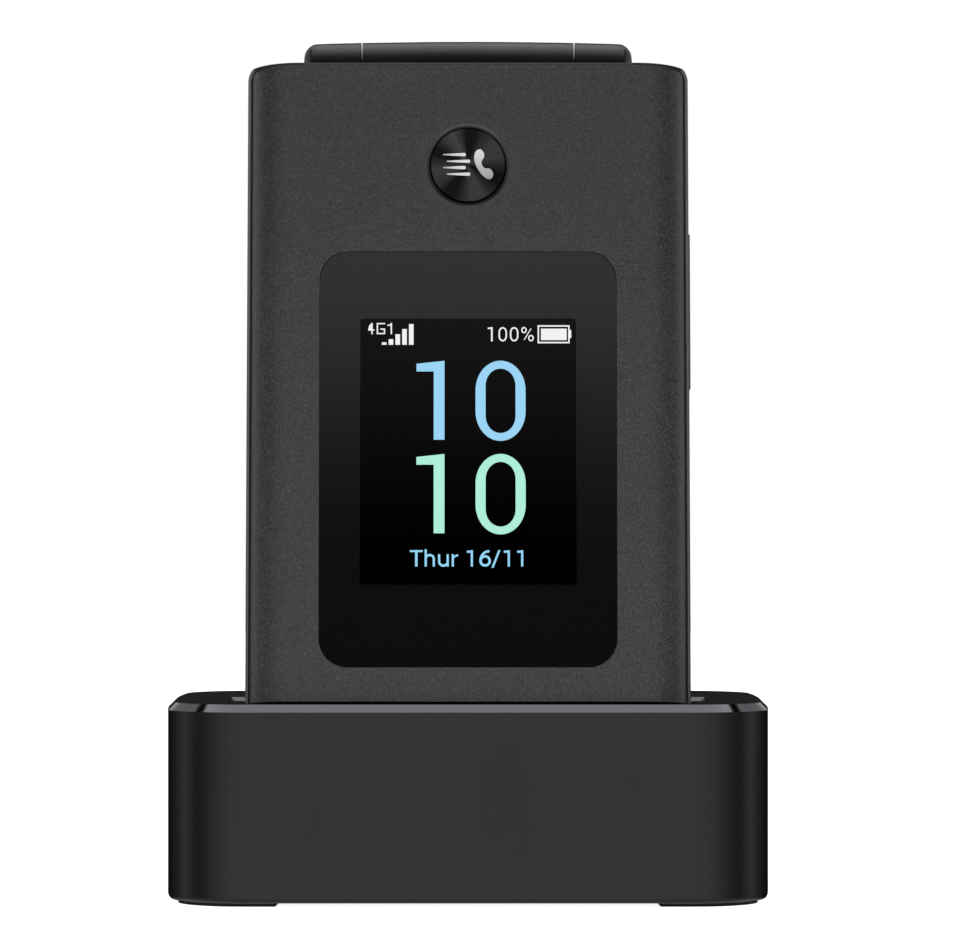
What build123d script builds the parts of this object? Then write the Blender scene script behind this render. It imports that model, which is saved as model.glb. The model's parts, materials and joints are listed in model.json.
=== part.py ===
from build123d import *
from math import cos, radians, sin, sqrt
import os

# Flip phone standing in its desktop charging cradle. Millimetres, +Z up, +X to the right of
# someone facing the phone, the front towards -Y. The phone is drawn upright in its own frame
# (y = 0 on the lid's front, z = 0 under the chin) and then leaned back into the cradle.

# ---- Phone: overall -------------------------------------------------------------------------
PHONE_W = 56.6            # width over the side frames
PHONE_D = 19.5            # thickness, lid front to back shell
LEAN = 7.5                # degrees the docked phone leans back
LID_D = 8.6               # thickness of the lid half
PARTING = 0.3             # gap between lid and base when shut
CHIN_H = 17.2             # full-thickness foot of the base, which stands in the cradle
LID_BOTTOM = CHIN_H + PARTING
LID_TOP = 99.9
HALF_SPLIT_Y = 13.0       # seam between keypad housing and back shell
WALL = 1.6                # housing end walls
SIDE_WALL = 1.2           # housing side walls
SEAM = 0.15               # visible joint between neighbouring shells
RUN = 0.05                # radial running clearance
KEY_GAP = 0.15            # clearance round anything that is pressed
SEAT = 0.05               # play between resting faces
PAST = 1.0                # how far a cutting body stands past the face it cuts
ROOT = 0.1                # how far a boss or post is rooted in its shell
ROUND_END = 0.49          # corner radius of a round-ended slot, as a share of its width
half_w = PHONE_W / 2
base_y = LID_D + PARTING
inner_half = half_w - SIDE_WALL

# ---- Hinge ----------------------------------------------------------------------------------
AXIS_Y = 6.6
AXIS_DROP = 1.4           # hinge axis below the lid's top edge
BARREL_R = 5.17           # in the middle
BARREL_CROWN = 0.34       # smaller at the outer ends by this
BARREL_GAP = 0.2          # round the barrel, to lid and base
KNUCKLE_HALF = 13.62      # centre knuckle, carried by the lid
NECK_DROP = 0.8           # top of the ear necks below the axis
LID_NECK_DROP = 2.0       # top of the lid's neck below the axis
KNUCKLE_GAP = 0.16        # between centre and end knuckles
BARREL_HALF = 21.15       # outer ends of the barrel
EAR_ROUND = 1.8
PIN_R = 1.2
PIN_BLIND = 0.8           # ear left solid outside the pin
PIN_REACH = 10.6          # pin length inside the centre knuckle
CARTRIDGE_R = 3.4
CARTRIDGE_IN = -2.2       # inner end of the hinge cartridge
cove_r = BARREL_R + BARREL_GAP
ear_in = KNUCKLE_HALF + KNUCKLE_GAP
axis_z = LID_TOP - AXIS_DROP
base_top = axis_z - cove_r

# ---- Lid ------------------------------------------------------------------------------------
STRIP_W = 0.37            # bright strip of the frame seen round the cover
COVER_D = 3.6
COVER_TOP = LID_TOP - STRIP_W - SEAM
ROLL_W = 6.4              # width of each rolled side of the face
ROLL_D = 3.2              # how far the face rolls back at the sides
STRIP_Y = 1.1             # frame strip, behind the face
STRIP_ROLL = 2.4
TOP_R = 2.0               # lid corners seen from the front
SHOULDER_W = 6.5          # the top edge falls away towards each corner over this width
SHOULDER_DROP = 1.05
COVER_T = 1.9             # cover thickness at the face
COVER_SIDE_T = 2.4        # and at the rolled sides
FRAME_T = 1.4             # inner cover thickness
FRAME_WALL = 1.6
WINDOW_W = 37.7
WINDOW_Z = (21.9, 75.06)
WINDOW_T = 1.1
WINDOW_R = 3.65
DISPLAY_W = 27.44
DISPLAY_Z = (32.53, 66.53)
DISPLAY_T = 1.9
DISPLAY_BORDER = 1.3      # dark border of the outer display module
QUICK_Z = 86.38           # round quick-call button
QUICK_R = 4.78
QUICK_RECESS = 0.45
QUICK_SINK = 0.1          # button face behind the lid's face
QUICK_FLANGE = 0.6
QUICK_FLANGE_T = 0.45
QUICK_STEM_R = 3.0
DOME_R = 3.2
DOME_T = 0.65
MAIN_WINDOW_MARGIN = 5.5  # each side
MAIN_WINDOW_Z = (25.6, 88.4)
MAIN_WINDOW_SINK = 0.2
MAIN_WINDOW_T = 0.9
MAIN_LEDGE = 1.4          # window ledge, covers the display's edge
LID_BOARD_Y = 3.95
BOARD_T = 0.8
CHIP_T = 0.9
LID_SCREW_IN = 4.3        # lid screws in from the side
LID_SCREW_Z = (20.85, 89.8)
POST_R = 1.7
POST_SPLIT_Y = 4.8        # where cover posts meet the inner cover's posts
PILOT_R = 0.7
PILOT_PLAY = 0.05
SCREW_SEAT = 0.45         # inner cover left under a lid screw's head
SCREW_HEAD_R = 1.5
SCREW_HEAD_T = 0.55
SCREW_BLIND = 0.7         # cover left in front of a lid screw's tip
BUMPER_PROUD = 0.65
EARPIECE_Z = 22.2
EARPIECE_W = 12.0
EARPIECE_H = 4.6
SLOT_W = 9.0
SLOT_H = 0.6
SLOT_PITCH = 1.2
LID_CHIP_W = 9.0
LID_CHIP_Z = 76.0

# ---- Keypad ---------------------------------------------------------------------------------
DECK_Y = 9.4              # keypad deck, recessed behind the base rim
DECK_T = 0.8
DECK_EDGE = 1.05          # rim above and below the deck
KEY_TOP_Y = 9.0
KEY_TRAVEL = 0.3
KEY_FLANGE = 0.4          # flange beyond the key cap
KEYPAD_SIDE = 5.5         # outer number keys, in from the side
KEY_SPACE = 1.7           # between the columns of keys
KEY_H = 7.4
KEY_R = 1.6
ROW_PITCH = 9.0
FIRST_ROW_Z = 26.6
KEY_ROWS = (("star", "0", "hash"), ("7", "8", "9"), ("4", "5", "6"), ("1", "2", "3"))
NAV_Z = 75.2
NAV_R = 9.6
NAV_HOLE_R = 4.9
OK_R = 4.75
SIDE_KEY_W = 10.8
SIDE_KEY_IN = 10.1        # middle of the side keys, in from the side
NAV_PRESS_R = 7.7         # where the ring meets its four domes
NAV_PRESSES = ((NAV_PRESS_R, 0), (-NAV_PRESS_R, 0), (0, NAV_PRESS_R), (0, -NAV_PRESS_R))
NAV_BEVEL = 0.25
OK_FLANGE = 0.65
OK_PLAY = 0.3             # round the centre key's flange
CALL_ROW_Z = 66.6
SOFT_ROW_Z = 83.6
SIDE_KEY_H = 7.0
CAP_BEVEL = 0.2
FLANGE_PLAY = 0.03        # between a key's flange and the deck
FLANGE_T = 0.27
PLUNGER_R = 1.2
NAV_PLUNGER_R = 1.0
PLUNGER_PLAY = 0.06       # between a pressed key and its dome
DOME_SHEET_T = 0.15
DOME_SHEET_Z = (22.0, 89.0)
DOME_H = 0.12
KEY_DOME_R = 1.8
BASE_BOARD_Y = 11.25
BASE_BOARD_IN = 6.1       # edge of the circuit board, in from the side
BASE_BOARD_LOW = 3.0
BASE_BOARD_TOP = 2.6      # below the top of the base
BASE_CHIPS = (((3.0, 18.0), (30.0, 60.0)), ((-18.0, -3.0), (50.0, 68.0)))

# ---- Base details ---------------------------------------------------------------------------
BASE_SCREW_IN = 3.9
BASE_SCREW_Z = (20.6, 89.9)
BASE_SCREW_SEAT = 0.4     # back shell left under a screw's head
BASE_HEAD_R = 1.4
BASE_HEAD_T = 0.9
BASE_RECESS_R = 1.6
BACK_POST_R = 1.9
BACK_SIDE_WALL = 1.6
BAY_END_WALL = 1.4
BASE_CORNER = 4.0         # base corners seen from behind
BACK_ROUND = 3.0
EDGE_BEVEL = 0.3          # on both sides of the parting line
BACK_WALL = 1.6
ROCKER_Z = (58.8, 79.4)
ROCKER_Y = (10.4, 12.6)
ROCKER_PROUD = 0.45
ROCKER_FLANGE = 0.5
ROCKER_SWING = 0.35       # room behind the wall for the rocker to tip
ROCKER_FLANGE_T = 0.55
SWITCH_GAP = 0.3
SWITCH_T = 0.2
SWITCH_W = 2.4
SWITCH_REACH = 7.0        # of each switch from the rocker's middle
SWITCH_STRIP_T = 0.3
HATCH_Z = (25.0, 77.0)    # battery cover and its opening
HATCH_IN = 2.5            # its edge, in from the side
HATCH_CORNER = 2.0
HATCH_T = 1.45
GRIP_W = 14.0             # finger grooves on the battery cover
GRIP_H = 0.7
GRIP_FROM = 6.0
GRIP_PITCH = 1.6
GRIP_DEEP = 0.35
BATTERY_W = 35.2
BATTERY_T = 4.0
BAY_PLAY = 0.4
BAY_MARGIN = 1.0          # battery ends inside the cover opening
BAY_WALL = 1.2
BAY_FLOOR_T = 0.7
BATTERY_R = 1.2
SIM = ((-15.0, -1.0), (30.0, 44.0))
SIM_T = 1.55
TERMINALS = ((4.0, 14.0), (70.5, 74.5))
TERMINALS_T = 1.7
HOLDER_PLAY = 0.2
CAMERA_Z = 84.8
CAMERA_W = 8.5
CAMERA_FRONT_Y = 13.2
CAMERA_R = 2.9
CAMERA_PLAY = 0.2
CAMERA_WINDOW_R = 4.3
CAMERA_WINDOW_T = 0.65
CAMERA_SINK = 0.15
SPEAKER_IN = 14.5
SPEAKER_W = 13.0
SPEAKER_H = 10.0
SPEAKER_T = 3.4
SPEAKER_SLOT = (0.9, 6.0)
SPEAKER_PITCH = 1.8
CHIN_SINK = 0.1           # chin front behind the lid's front
CHIN_WALL = 1.7
CHIN_SIDE = 2.5
CHIN_BEVEL = 1.0
LUG_T = 1.45              # lugs of the chin inside the keypad housing
LUG_H = 1.9
MOTOR_R = 3.0
MOTOR_L = 14.0
MOTOR_IN = 5.5
MOTOR_Y = 4.9
MOTOR_Z = 9.0
ANTENNA_W = 19.0
ANTENNA_IN = 3.5
ANTENNA_Y = (2.0, 9.8)
USB_IN = 14.5
PAD_X = 4.0
PAD_Y = 9.75
PAD_T = 0.6
PAD_W = 2.8
PAD_D = 2.4

# ---- Cradle ---------------------------------------------------------------------------------
DOCK_W = 76.3
DOCK_D = 48.0
DOCK_H = 25.42
DOCK_CORNER = 9.7
DOCK_BOW = 0.5            # both ends are fuller in the middle by this
DOCK_BEVEL = 0.95
DOCK_FOOT_ROUND = 0.7
DOCK_WALL = 2.0
FOOT_LIFT = 0.45          # height the feet hold the shell off the table
RIM_T = 4.0               # rim in front of the pocket
POCKET_SIDE = 1.85        # clearance beside the phone's back half
POCKET_FRONT = 0.4        # clearance in front of and behind the phone
POCKET_T = 1.4
POCKET_BEVEL = 0.55
LID_OVER_RIM = 0.25
GUIDE_GAP = 0.3           # clearance beside the phone's front half
GUIDE_BACK = 7.9          # rear end of the guides there
PLATE_INSET = 1.2
PLATE_T = 2.0
FOOT_INSET = 1.3
FOOT_W = 6.5
FOOT_SINK = 0.6
FOOT_FROM = 23.8
FOOT_BEVEL = 0.45
FOOT_PLAY = 0.1
DOCK_SCREW_IN = (5.15, 7.5)
DOCK_POST_R = 2.4
DOCK_PILOT_R = 1.0
DOCK_HEAD_R = 1.9
DOCK_HEAD_T = 0.78
DOCK_HEAD_PLAY = 0.1
DOCK_SCREW_TOP = 5.7
DOCK_SCREW_PLAY = 0.3     # above the tip of a screw
DOCK_BOARD_LIFT = 0.45
DOCK_BOARD_W = 24.0
DOCK_BOARD_FROM = 8.35    # behind the phone's face
STANDOFF_R = 1.5
STANDOFF_IN = (2.0, 4.5)
DOCK_CHIP_W = 6.0
DOCK_CHIP_X = 7.6
DOCK_CHIP_T = 1.2
DOCK_CHIP_BACK = 8.1      # behind the pocket
CONTACT_TRAVEL = 0.8
CONTACT_PLAY = 0.04       # between a contact and the phone's pad
CONTACT_FLANGE_T = 0.6
CONTACT_R = 0.5
CONTACT_FLANGE_R = 0.8
USB_W = 8.94
USB_T = 3.26
USB_L = 7.3
USB_SHELL = 0.35
USB_BACK = 0.8
USB_TONGUE_IN = 1.1
USB_TONGUE_T = 0.7
USB_TONGUE_SINK = 0.5
USB_SINK = 0.3
PIN_HOLDER_W = 14.0
PIN_HOLDER_D = 4.0
WEIGHT_H = 6.0
WEIGHT_FROM = 2.5         # beside the circuit board
WEIGHT_BACK = 2.6         # behind the pocket
WEIGHT_MARGIN = 1.5       # to the shell's back wall
WEIGHT_SIDE = 0.8         # to the screw posts
WEIGHT_RIB = (2.0, 8.0)

# ---- Docked position ------------------------------------------------------------------------
plate_top = FOOT_LIFT + PLATE_T
pocket_half = half_w + POCKET_SIDE
above = 2 * DOCK_H        # clear of the cradle's rim
phone_z = DOCK_H + LID_OVER_RIM - LID_BOTTOM * cos(radians(LEAN))


def wall_y_shift(y, z):
    """How far behind the phone's origin the tilted plane y = const lies at world height z."""
    up = (z - phone_z + y * sin(radians(LEAN))) / cos(radians(LEAN))
    return y * cos(radians(LEAN)) + up * sin(radians(LEAN))


phone_y = -DOCK_D / 2 + RIM_T - wall_y_shift(-POCKET_FRONT, DOCK_H)
docked = Pos(0, phone_y, phone_z) * Rot(-LEAN, 0, 0)


# ---- Shapes used again and again ------------------------------------------------------------
def block(x, y, z):
    """Block between three (low, high) pairs."""
    centre = Pos((x[0] + x[1]) / 2, (y[0] + y[1]) / 2, (z[0] + z[1]) / 2)
    return centre * Box(x[1] - x[0], y[1] - y[0], z[1] - z[0])


def rod_x(radius, x, y, z):
    return Pos((x[0] + x[1]) / 2, y, z) * Rot(0, 90, 0) * Cylinder(radius, x[1] - x[0])


def rod_y(radius, x, y, z):
    return Pos(x, (y[0] + y[1]) / 2, z) * Rot(90, 0, 0) * Cylinder(radius, y[1] - y[0])


def rod_z(radius, x, y, z):
    return Pos(x, y, (z[0] + z[1]) / 2) * Cylinder(radius, z[1] - z[0])


def panel(width, z, y, radius, x=0.0):
    """Plate standing in the x-z plane with rounded corners, y = (front, back)."""
    outline = RectangleRounded(width, z[1] - z[0], radius)
    plate = extrude(outline, y[1] - y[0])
    return Pos(x, y[1], (z[0] + z[1]) / 2) * Rot(90, 0, 0) * plate


def tray(width, depth, radius, z):
    """Flat plate with rounded corners, z = (low, high)."""
    return Pos(0, 0, z[0]) * extrude(RectangleRounded(width, depth, radius), z[1] - z[0])


def rolled(half, front, roll, back, z):
    """Upright bar whose flat front rolls back elliptically to both sides."""
    flat = half_w - ROLL_W
    right = EllipticalCenterArc((flat, front + roll), half - flat, roll, 270, arc_size=90)
    left = EllipticalCenterArc((-flat, front + roll), half - flat, roll, 180, arc_size=90)
    outline = (
        right
        + Line((half, front + roll), (half, back))
        + Line((half, back), (-half, back))
        + Line((-half, back), (-half, front + roll))
        + left
        + Line((-flat, front), (flat, front))
    )
    return Pos(0, 0, z[0]) * extrude(make_face(outline), z[1] - z[0])


def shouldered(half, top, back):
    """Upright block whose top edge falls away towards both corners along a flat ellipse."""
    flat = half - SHOULDER_W
    low = top - SHOULDER_DROP
    outline = (
        EllipticalCenterArc((flat, low), SHOULDER_W, SHOULDER_DROP, 0, arc_size=90)
        + Line((flat, top), (-flat, top))
        + EllipticalCenterArc((-flat, low), SHOULDER_W, SHOULDER_DROP, 90, arc_size=90)
        + Line((-half, low), (-half, 0))
        + Line((-half, 0), (half, 0))
        + Line((half, 0), (half, low))
    )
    return Pos(0, back, 0) * Rot(90, 0, 0) * extrude(make_face(outline), back + PAST)


def barrel_radius(x):
    return BARREL_R - BARREL_CROWN * (x / BARREL_HALF) ** 2


def crowned(x):
    """Stretch of the hinge barrel, x = (low, high), fuller towards the middle of the phone."""
    low, middle, high = ((at, barrel_radius(at)) for at in (x[0], sum(x) / 2, x[1]))
    outline = (
        Line((low[0], 0), (high[0], 0))
        + Line((high[0], 0), high)
        + ThreePointArc(high, middle, low)
        + Line(low, (low[0], 0))
    )
    return Pos(0, AXIS_Y, axis_z) * revolve(make_face(outline), Axis.X)


def both_sides(make):
    """The same feature on the right (+1) and on the left (-1)."""
    return make(1) + make(-1)


def span(side, low, high):
    """(low, high) on the right, mirrored for the left."""
    return (low, high) if side > 0 else (-high, -low)


def four(x, zs, make):
    """The same feature at the four corners (+-x, zs)."""
    return both_sides(lambda side: make(side * x, zs[0]) + make(side * x, zs[1]))


def around(middle, size):
    """(low, high) of a size about its middle."""
    return (middle - size / 2, middle + size / 2)


def grown(pair, by):
    """A (low, high) pair widened at both ends."""
    return (pair[0] - by, pair[1] + by)


nodes = {}


def phone_node(name, shape):
    nodes[name] = docked * shape


# ---- Lid: outer cover -----------------------------------------------------------------------
cover_half = half_w - STRIP_W - SEAM
cavity_z = (LID_BOTTOM + WALL, base_top - SIDE_WALL)
lid_screw_x = half_w - LID_SCREW_IN
cover = rolled(cover_half, 0, ROLL_D, COVER_D, (LID_BOTTOM, COVER_TOP))
cover_outline = panel(2 * cover_half, (LID_BOTTOM, COVER_TOP), (-PAST, COVER_D), TOP_R)
square_foot = (LID_BOTTOM, LID_BOTTOM + 3 * TOP_R)
cover_outline += block((-cover_half, cover_half), (-PAST, COVER_D), square_foot)
cover = cover & cover_outline & shouldered(cover_half, COVER_TOP, COVER_D)
cover_in = half_w - COVER_SIDE_T - STRIP_W
cover -= block((-cover_in, cover_in), (COVER_T, COVER_D + PAST), cavity_z)
cover -= panel(WINDOW_W + SEAM, grown(WINDOW_Z, SEAM / 2), (-PAST, WINDOW_T), WINDOW_R)
cover -= panel(DISPLAY_W + PAST, grown(DISPLAY_Z, PAST / 2), (0, COVER_D), DISPLAY_BORDER)
quick_hole_r = QUICK_R + KEY_GAP
cover -= rod_y(quick_hole_r, 0, (-PAST, COVER_D), QUICK_Z)
dish = Cone(quick_hole_r, quick_hole_r + QUICK_RECESS, QUICK_RECESS)
cover -= Pos(0, QUICK_RECESS / 2, QUICK_Z) * Rot(90, 0, 0) * dish
post_y = (COVER_T - WINDOW_T, POST_SPLIT_Y)
screw_tip = COVER_T + SCREW_BLIND
cover += four(lid_screw_x, LID_SCREW_Z, lambda x, z: rod_y(POST_R, x, post_y, z))
cover -= four(
    lid_screw_x, LID_SCREW_Z, lambda x, z: rod_y(PILOT_R, x, (screw_tip, POST_SPLIT_Y + PAST), z)
)
barrel_out = BARREL_HALF + BARREL_GAP
cover -= rod_x(cove_r, (-barrel_out, barrel_out), AXIS_Y, axis_z)
phone_node("lid_outer_cover", cover)

# ---- Lid: inner cover with the bright side strips and the centre knuckle --------------------
frame_in_y = LID_D - FRAME_T
screw_seat_y = frame_in_y + SCREW_SEAT
screw_end_y = screw_seat_y + SCREW_HEAD_T
frame = rolled(half_w, STRIP_Y, STRIP_ROLL, LID_D, (LID_BOTTOM, LID_TOP))
frame_outline = panel(PHONE_W, (LID_BOTTOM, LID_TOP), (-PAST, LID_D), TOP_R + SEAM)
frame = frame & (frame_outline + block((-half_w, half_w), (-PAST, LID_D), square_foot))
frame = chamfer(frame.faces().sort_by(Axis.Y)[-1].edges(), EDGE_BEVEL)
frame = frame & shouldered(half_w, LID_TOP, LID_D)
seat_z = (LID_BOTTOM - 5 * TOP_R, COVER_TOP + SEAM)
cover_seat = panel(2 * (cover_half + SEAM), seat_z, (-PAST, COVER_D), TOP_R)
frame -= cover_seat & shouldered(cover_half + SEAM, COVER_TOP + SEAM, COVER_D)
frame_cavity = half_w - FRAME_WALL
frame -= block((-frame_cavity, frame_cavity), (COVER_D - PAST, frame_in_y), cavity_z)
window_w = PHONE_W - 2 * MAIN_WINDOW_MARGIN
window_y = (LID_D - MAIN_WINDOW_SINK - MAIN_WINDOW_T, LID_D - MAIN_WINDOW_SINK)
ledge_w = window_w - 2 * MAIN_LEDGE
frame -= panel(window_w + SEAM, MAIN_WINDOW_Z, (window_y[0], LID_D + PAST), MAIN_LEDGE)
frame -= panel(ledge_w, grown(MAIN_WINDOW_Z, -MAIN_LEDGE), (frame_in_y - PAST, LID_D), MAIN_LEDGE)
for row in (-1, 0, 1):
    slot_z = around(EARPIECE_Z + row * SLOT_PITCH, SLOT_H)
    frame -= panel(SLOT_W, slot_z, (frame_in_y - PAST, LID_D + PAST), SLOT_H * ROUND_END)
post_y = (POST_SPLIT_Y + SEAT, frame_in_y + ROOT)
frame += four(lid_screw_x, LID_SCREW_Z, lambda x, z: rod_y(POST_R, x, post_y, z))
frame -= four(lid_screw_x, LID_SCREW_Z, lambda x, z: rod_y(POST_R, x, (screw_seat_y, LID_D + PAST), z))
frame -= four(
    lid_screw_x, LID_SCREW_Z, lambda x, z: rod_y(PILOT_R + PILOT_PLAY, x, (COVER_D, LID_D), z)
)
frame -= both_sides(lambda side: rod_x(cove_r, span(side, KNUCKLE_HALF, barrel_out), AXIS_Y, axis_z))
frame += crowned((-KNUCKLE_HALF, KNUCKLE_HALF))
neck_z = (cavity_z[1] - ROOT, axis_z - LID_NECK_DROP)
frame += block((-KNUCKLE_HALF, KNUCKLE_HALF), (COVER_D, LID_D), neck_z)
frame -= rod_x(CARTRIDGE_R, (CARTRIDGE_IN, KNUCKLE_HALF + PAST), AXIS_Y, axis_z)
pin_hole = (-KNUCKLE_HALF - PAST, -KNUCKLE_HALF + PIN_REACH)
frame -= rod_x(PIN_R + RUN, pin_hole, AXIS_Y, axis_z)
phone_node("lid_inner_cover", frame)

# ---- Lid: what it carries -------------------------------------------------------------------
phone_node("outer_window", panel(WINDOW_W, WINDOW_Z, (0, WINDOW_T), WINDOW_R))
module_z = grown(DISPLAY_Z, DISPLAY_BORDER)
module_y = (COVER_T, COVER_T + DISPLAY_T)
phone_node("outer_display", panel(DISPLAY_W + 2 * DISPLAY_BORDER, module_z, module_y, DISPLAY_BORDER / 2))
phone_node("main_window", panel(window_w, grown(MAIN_WINDOW_Z, -SEAM / 2), window_y, MAIN_LEDGE))
board_half = lid_screw_x - POST_R - SIDE_WALL / 3
main_display_y = (LID_BOARD_Y + BOARD_T + SEAM, frame_in_y - ROOT)
display_half = board_half - 2 * SEAM
main_display_z = grown(MAIN_WINDOW_Z, -MAIN_LEDGE)
phone_node(
    "main_display", panel(2 * display_half, main_display_z, main_display_y, DISPLAY_BORDER / 2)
)
lid_board_y = (LID_BOARD_Y, LID_BOARD_Y + BOARD_T)
lid_board_z = (cavity_z[0] + 0.5 * BOARD_T, cavity_z[1] - 2 * BOARD_T)
lid_board = block((-board_half, board_half), lid_board_y, lid_board_z)
chip_y = (LID_BOARD_Y - CHIP_T, LID_BOARD_Y)
chip_z = around(LID_CHIP_Z, LID_CHIP_W)
lid_board += both_sides(
    lambda side: block(span(side, board_half - LID_CHIP_W - CHIP_T, board_half - CHIP_T), chip_y, chip_z)
)
phone_node("lid_circuit_board", lid_board)
earpiece_z = around(EARPIECE_Z, EARPIECE_H)
earpiece_y = (main_display_y[0], frame_in_y)
phone_node("earpiece", panel(EARPIECE_W, earpiece_z, earpiece_y, EARPIECE_H * ROUND_END))


def lid_screw(x, z):
    head = rod_y(SCREW_HEAD_R, x, (screw_seat_y, screw_end_y), z)
    return head + rod_y(PILOT_R, x, (screw_tip, screw_seat_y), z)


phone_node("lid_screws", four(lid_screw_x, LID_SCREW_Z, lid_screw))
bumper_y = (screw_end_y + SEAT, LID_D + BUMPER_PROUD)
phone_node(
    "lid_bumpers", four(lid_screw_x, LID_SCREW_Z, lambda x, z: rod_y(POST_R - SEAM, x, bumper_y, z))
)
dome_y = LID_BOARD_Y - DOME_T
phone_node("quick_call_dome", rod_y(DOME_R, 0, (dome_y, LID_BOARD_Y), QUICK_Z))
cartridge = rod_x(CARTRIDGE_R, (CARTRIDGE_IN, KNUCKLE_HALF - 2 * RUN), AXIS_Y, axis_z)
pin_hole = (KNUCKLE_HALF - PIN_REACH, KNUCKLE_HALF + PAST)
cartridge -= rod_x(PIN_R + RUN, pin_hole, AXIS_Y, axis_z)
phone_node("hinge_cartridge", cartridge)

flange_front = COVER_T + SEAT
quick = rod_y(QUICK_R, 0, (QUICK_SINK, flange_front), QUICK_Z)
quick = fillet(quick.edges().sort_by(Axis.Y)[0], CAP_BEVEL)
quick += rod_y(QUICK_R + QUICK_FLANGE, 0, (flange_front, flange_front + QUICK_FLANGE_T), QUICK_Z)
stem_y = (flange_front, dome_y - KEY_TRAVEL - SEAT)
quick += rod_y(QUICK_STEM_R, 0, stem_y, QUICK_Z)
phone_node("quick_call_button", quick)

# ---- Base: keypad housing with the hinge ears -----------------------------------------------
deck_in = DECK_Y + DECK_T
key_cut = (DECK_Y - PAST, deck_in + PAST / 2)
housing_low = CHIN_H + SEAM
housing = panel(PHONE_W, (0, base_top), (base_y, HALF_SPLIT_Y), BASE_CORNER)
housing = chamfer(housing.faces().sort_by(Axis.Y)[0].edges(), EDGE_BEVEL)
housing -= block((-half_w - PAST, half_w + PAST), (0, HALF_SPLIT_Y + PAST), (-PAST, housing_low))
deck_z = (housing_low + DECK_EDGE, base_top - SIDE_WALL)
housing -= block((-inner_half, inner_half), (0, DECK_Y), deck_z)
hollow_z = (0, base_top - WALL)
housing -= block((-inner_half, inner_half), (deck_in, HALF_SPLIT_Y + PAST), hollow_z)


def ear(side):
    """End knuckle with its neck behind the parting plane."""
    knuckle = crowned(span(side, ear_in, BARREL_HALF))
    outer = knuckle.edges().filter_by(GeomType.CIRCLE).sort_by(Axis.X)[-1 if side > 0 else 0]
    knuckle = fillet(outer, EAR_ROUND)
    neck_top = axis_z - NECK_DROP
    neck = Polyline(
        (base_y, base_top - PAST),
        (base_y, neck_top),
        (AXIS_Y + barrel_radius(BARREL_HALF) - SEAT, neck_top),
        (HALF_SPLIT_Y, base_top),
        (HALF_SPLIT_Y, base_top - PAST),
        close=True,
    )
    low, high = span(side, ear_in, BARREL_HALF - EAR_ROUND)
    rib = extrude(Plane.YZ.offset(low) * make_face(neck), high - low)
    bore = rod_x(PIN_R, span(side, ear_in - PAST, BARREL_HALF - PIN_BLIND), AXIS_Y, axis_z)
    return knuckle + rib - bore


housing += both_sides(ear)

key_w = (PHONE_W - 2 * KEYPAD_SIDE - 2 * KEY_SPACE) / len(KEY_ROWS[0])
keys = {}
for row, names in enumerate(KEY_ROWS):
    for column, name in enumerate(names):
        x = (column - 1) * (key_w + KEY_SPACE)
        z = FIRST_ROW_Z + row * ROW_PITCH
        keys["key_" + name] = (x, z, key_w, KEY_H)
side_key_x = half_w - SIDE_KEY_IN
for side, call, soft in ((-1, "call_key", "soft_key_left"), (1, "end_key", "soft_key_right")):
    keys[call] = (side * side_key_x, CALL_ROW_Z, SIDE_KEY_W, SIDE_KEY_H)
    keys[soft] = (side * side_key_x, SOFT_ROW_Z, SIDE_KEY_W, SIDE_KEY_H)

for x, z, w, h in keys.values():
    hole = around(z, h + 2 * KEY_GAP)
    housing -= panel(w + 2 * KEY_GAP, hole, key_cut, KEY_R + KEY_GAP, x)
housing -= rod_y(NAV_R + KEY_GAP, 0, key_cut, NAV_Z)

rocker_hole_x = (inner_half - PAST, half_w + PAST)
housing -= block(rocker_hole_x, grown(ROCKER_Y, KEY_GAP), grown(ROCKER_Z, KEY_GAP))
base_screw_x = half_w - BASE_SCREW_IN
post_y = (DECK_Y + 3 * ROOT, HALF_SPLIT_Y)
pilot_y = (deck_in + PAST / 2, HALF_SPLIT_Y + PAST)
housing += four(base_screw_x, BASE_SCREW_Z, lambda x, z: rod_y(POST_R, x, post_y, z))
housing -= four(base_screw_x, BASE_SCREW_Z, lambda x, z: rod_y(PILOT_R, x, pilot_y, z))
phone_node("keypad_housing", housing)

# ---- Base: chin cap, the foot that stands in the cradle -------------------------------------
chin = rolled(half_w, CHIN_SINK, ROLL_D, HALF_SPLIT_Y, (0, CHIN_H))
chin_foot = chin.edges().group_by(Axis.Z)[0].sort_by(Axis.Y)[0]
chin = chamfer(chin_foot, CHIN_BEVEL)
chin = chin & panel(PHONE_W, (0, base_top), (0, HALF_SPLIT_Y), BASE_CORNER)
chin_in = half_w - CHIN_SIDE
chin -= block((-chin_in, chin_in), (CHIN_SINK + CHIN_WALL, HALF_SPLIT_Y), (WALL, CHIN_H - WALL))
chin -= block((-inner_half, inner_half), (deck_in, HALF_SPLIT_Y + PAST), (WALL, CHIN_H + PAST))
lug_y = (deck_in + SEAT, HALF_SPLIT_Y - SEAT)
lug_z = (CHIN_H - LUG_H, CHIN_H + LUG_H)
chin += both_sides(lambda side: block(span(side, inner_half - LUG_T, inner_half - SEAT), lug_y, lug_z))
chin += both_sides(
    lambda side: block(span(side, inner_half - LUG_T, half_w - SEAM), lug_y, (lug_z[0], CHIN_H))
)
usb_x = around(USB_IN - half_w, USB_W)
usb_y = (BASE_BOARD_Y - USB_T, BASE_BOARD_Y)
chin -= block(usb_x, usb_y, (-PAST, WALL + PAST))


def charge_pad(side, low):
    return block(around(side * PAD_X, PAD_W), around(PAD_Y, PAD_D), (low, PAD_T))


chin -= both_sides(lambda side: charge_pad(side, -PAST))
phone_node("chin_cap", chin)
phone_node("charge_pads", both_sides(lambda side: charge_pad(side, 0)))

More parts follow.
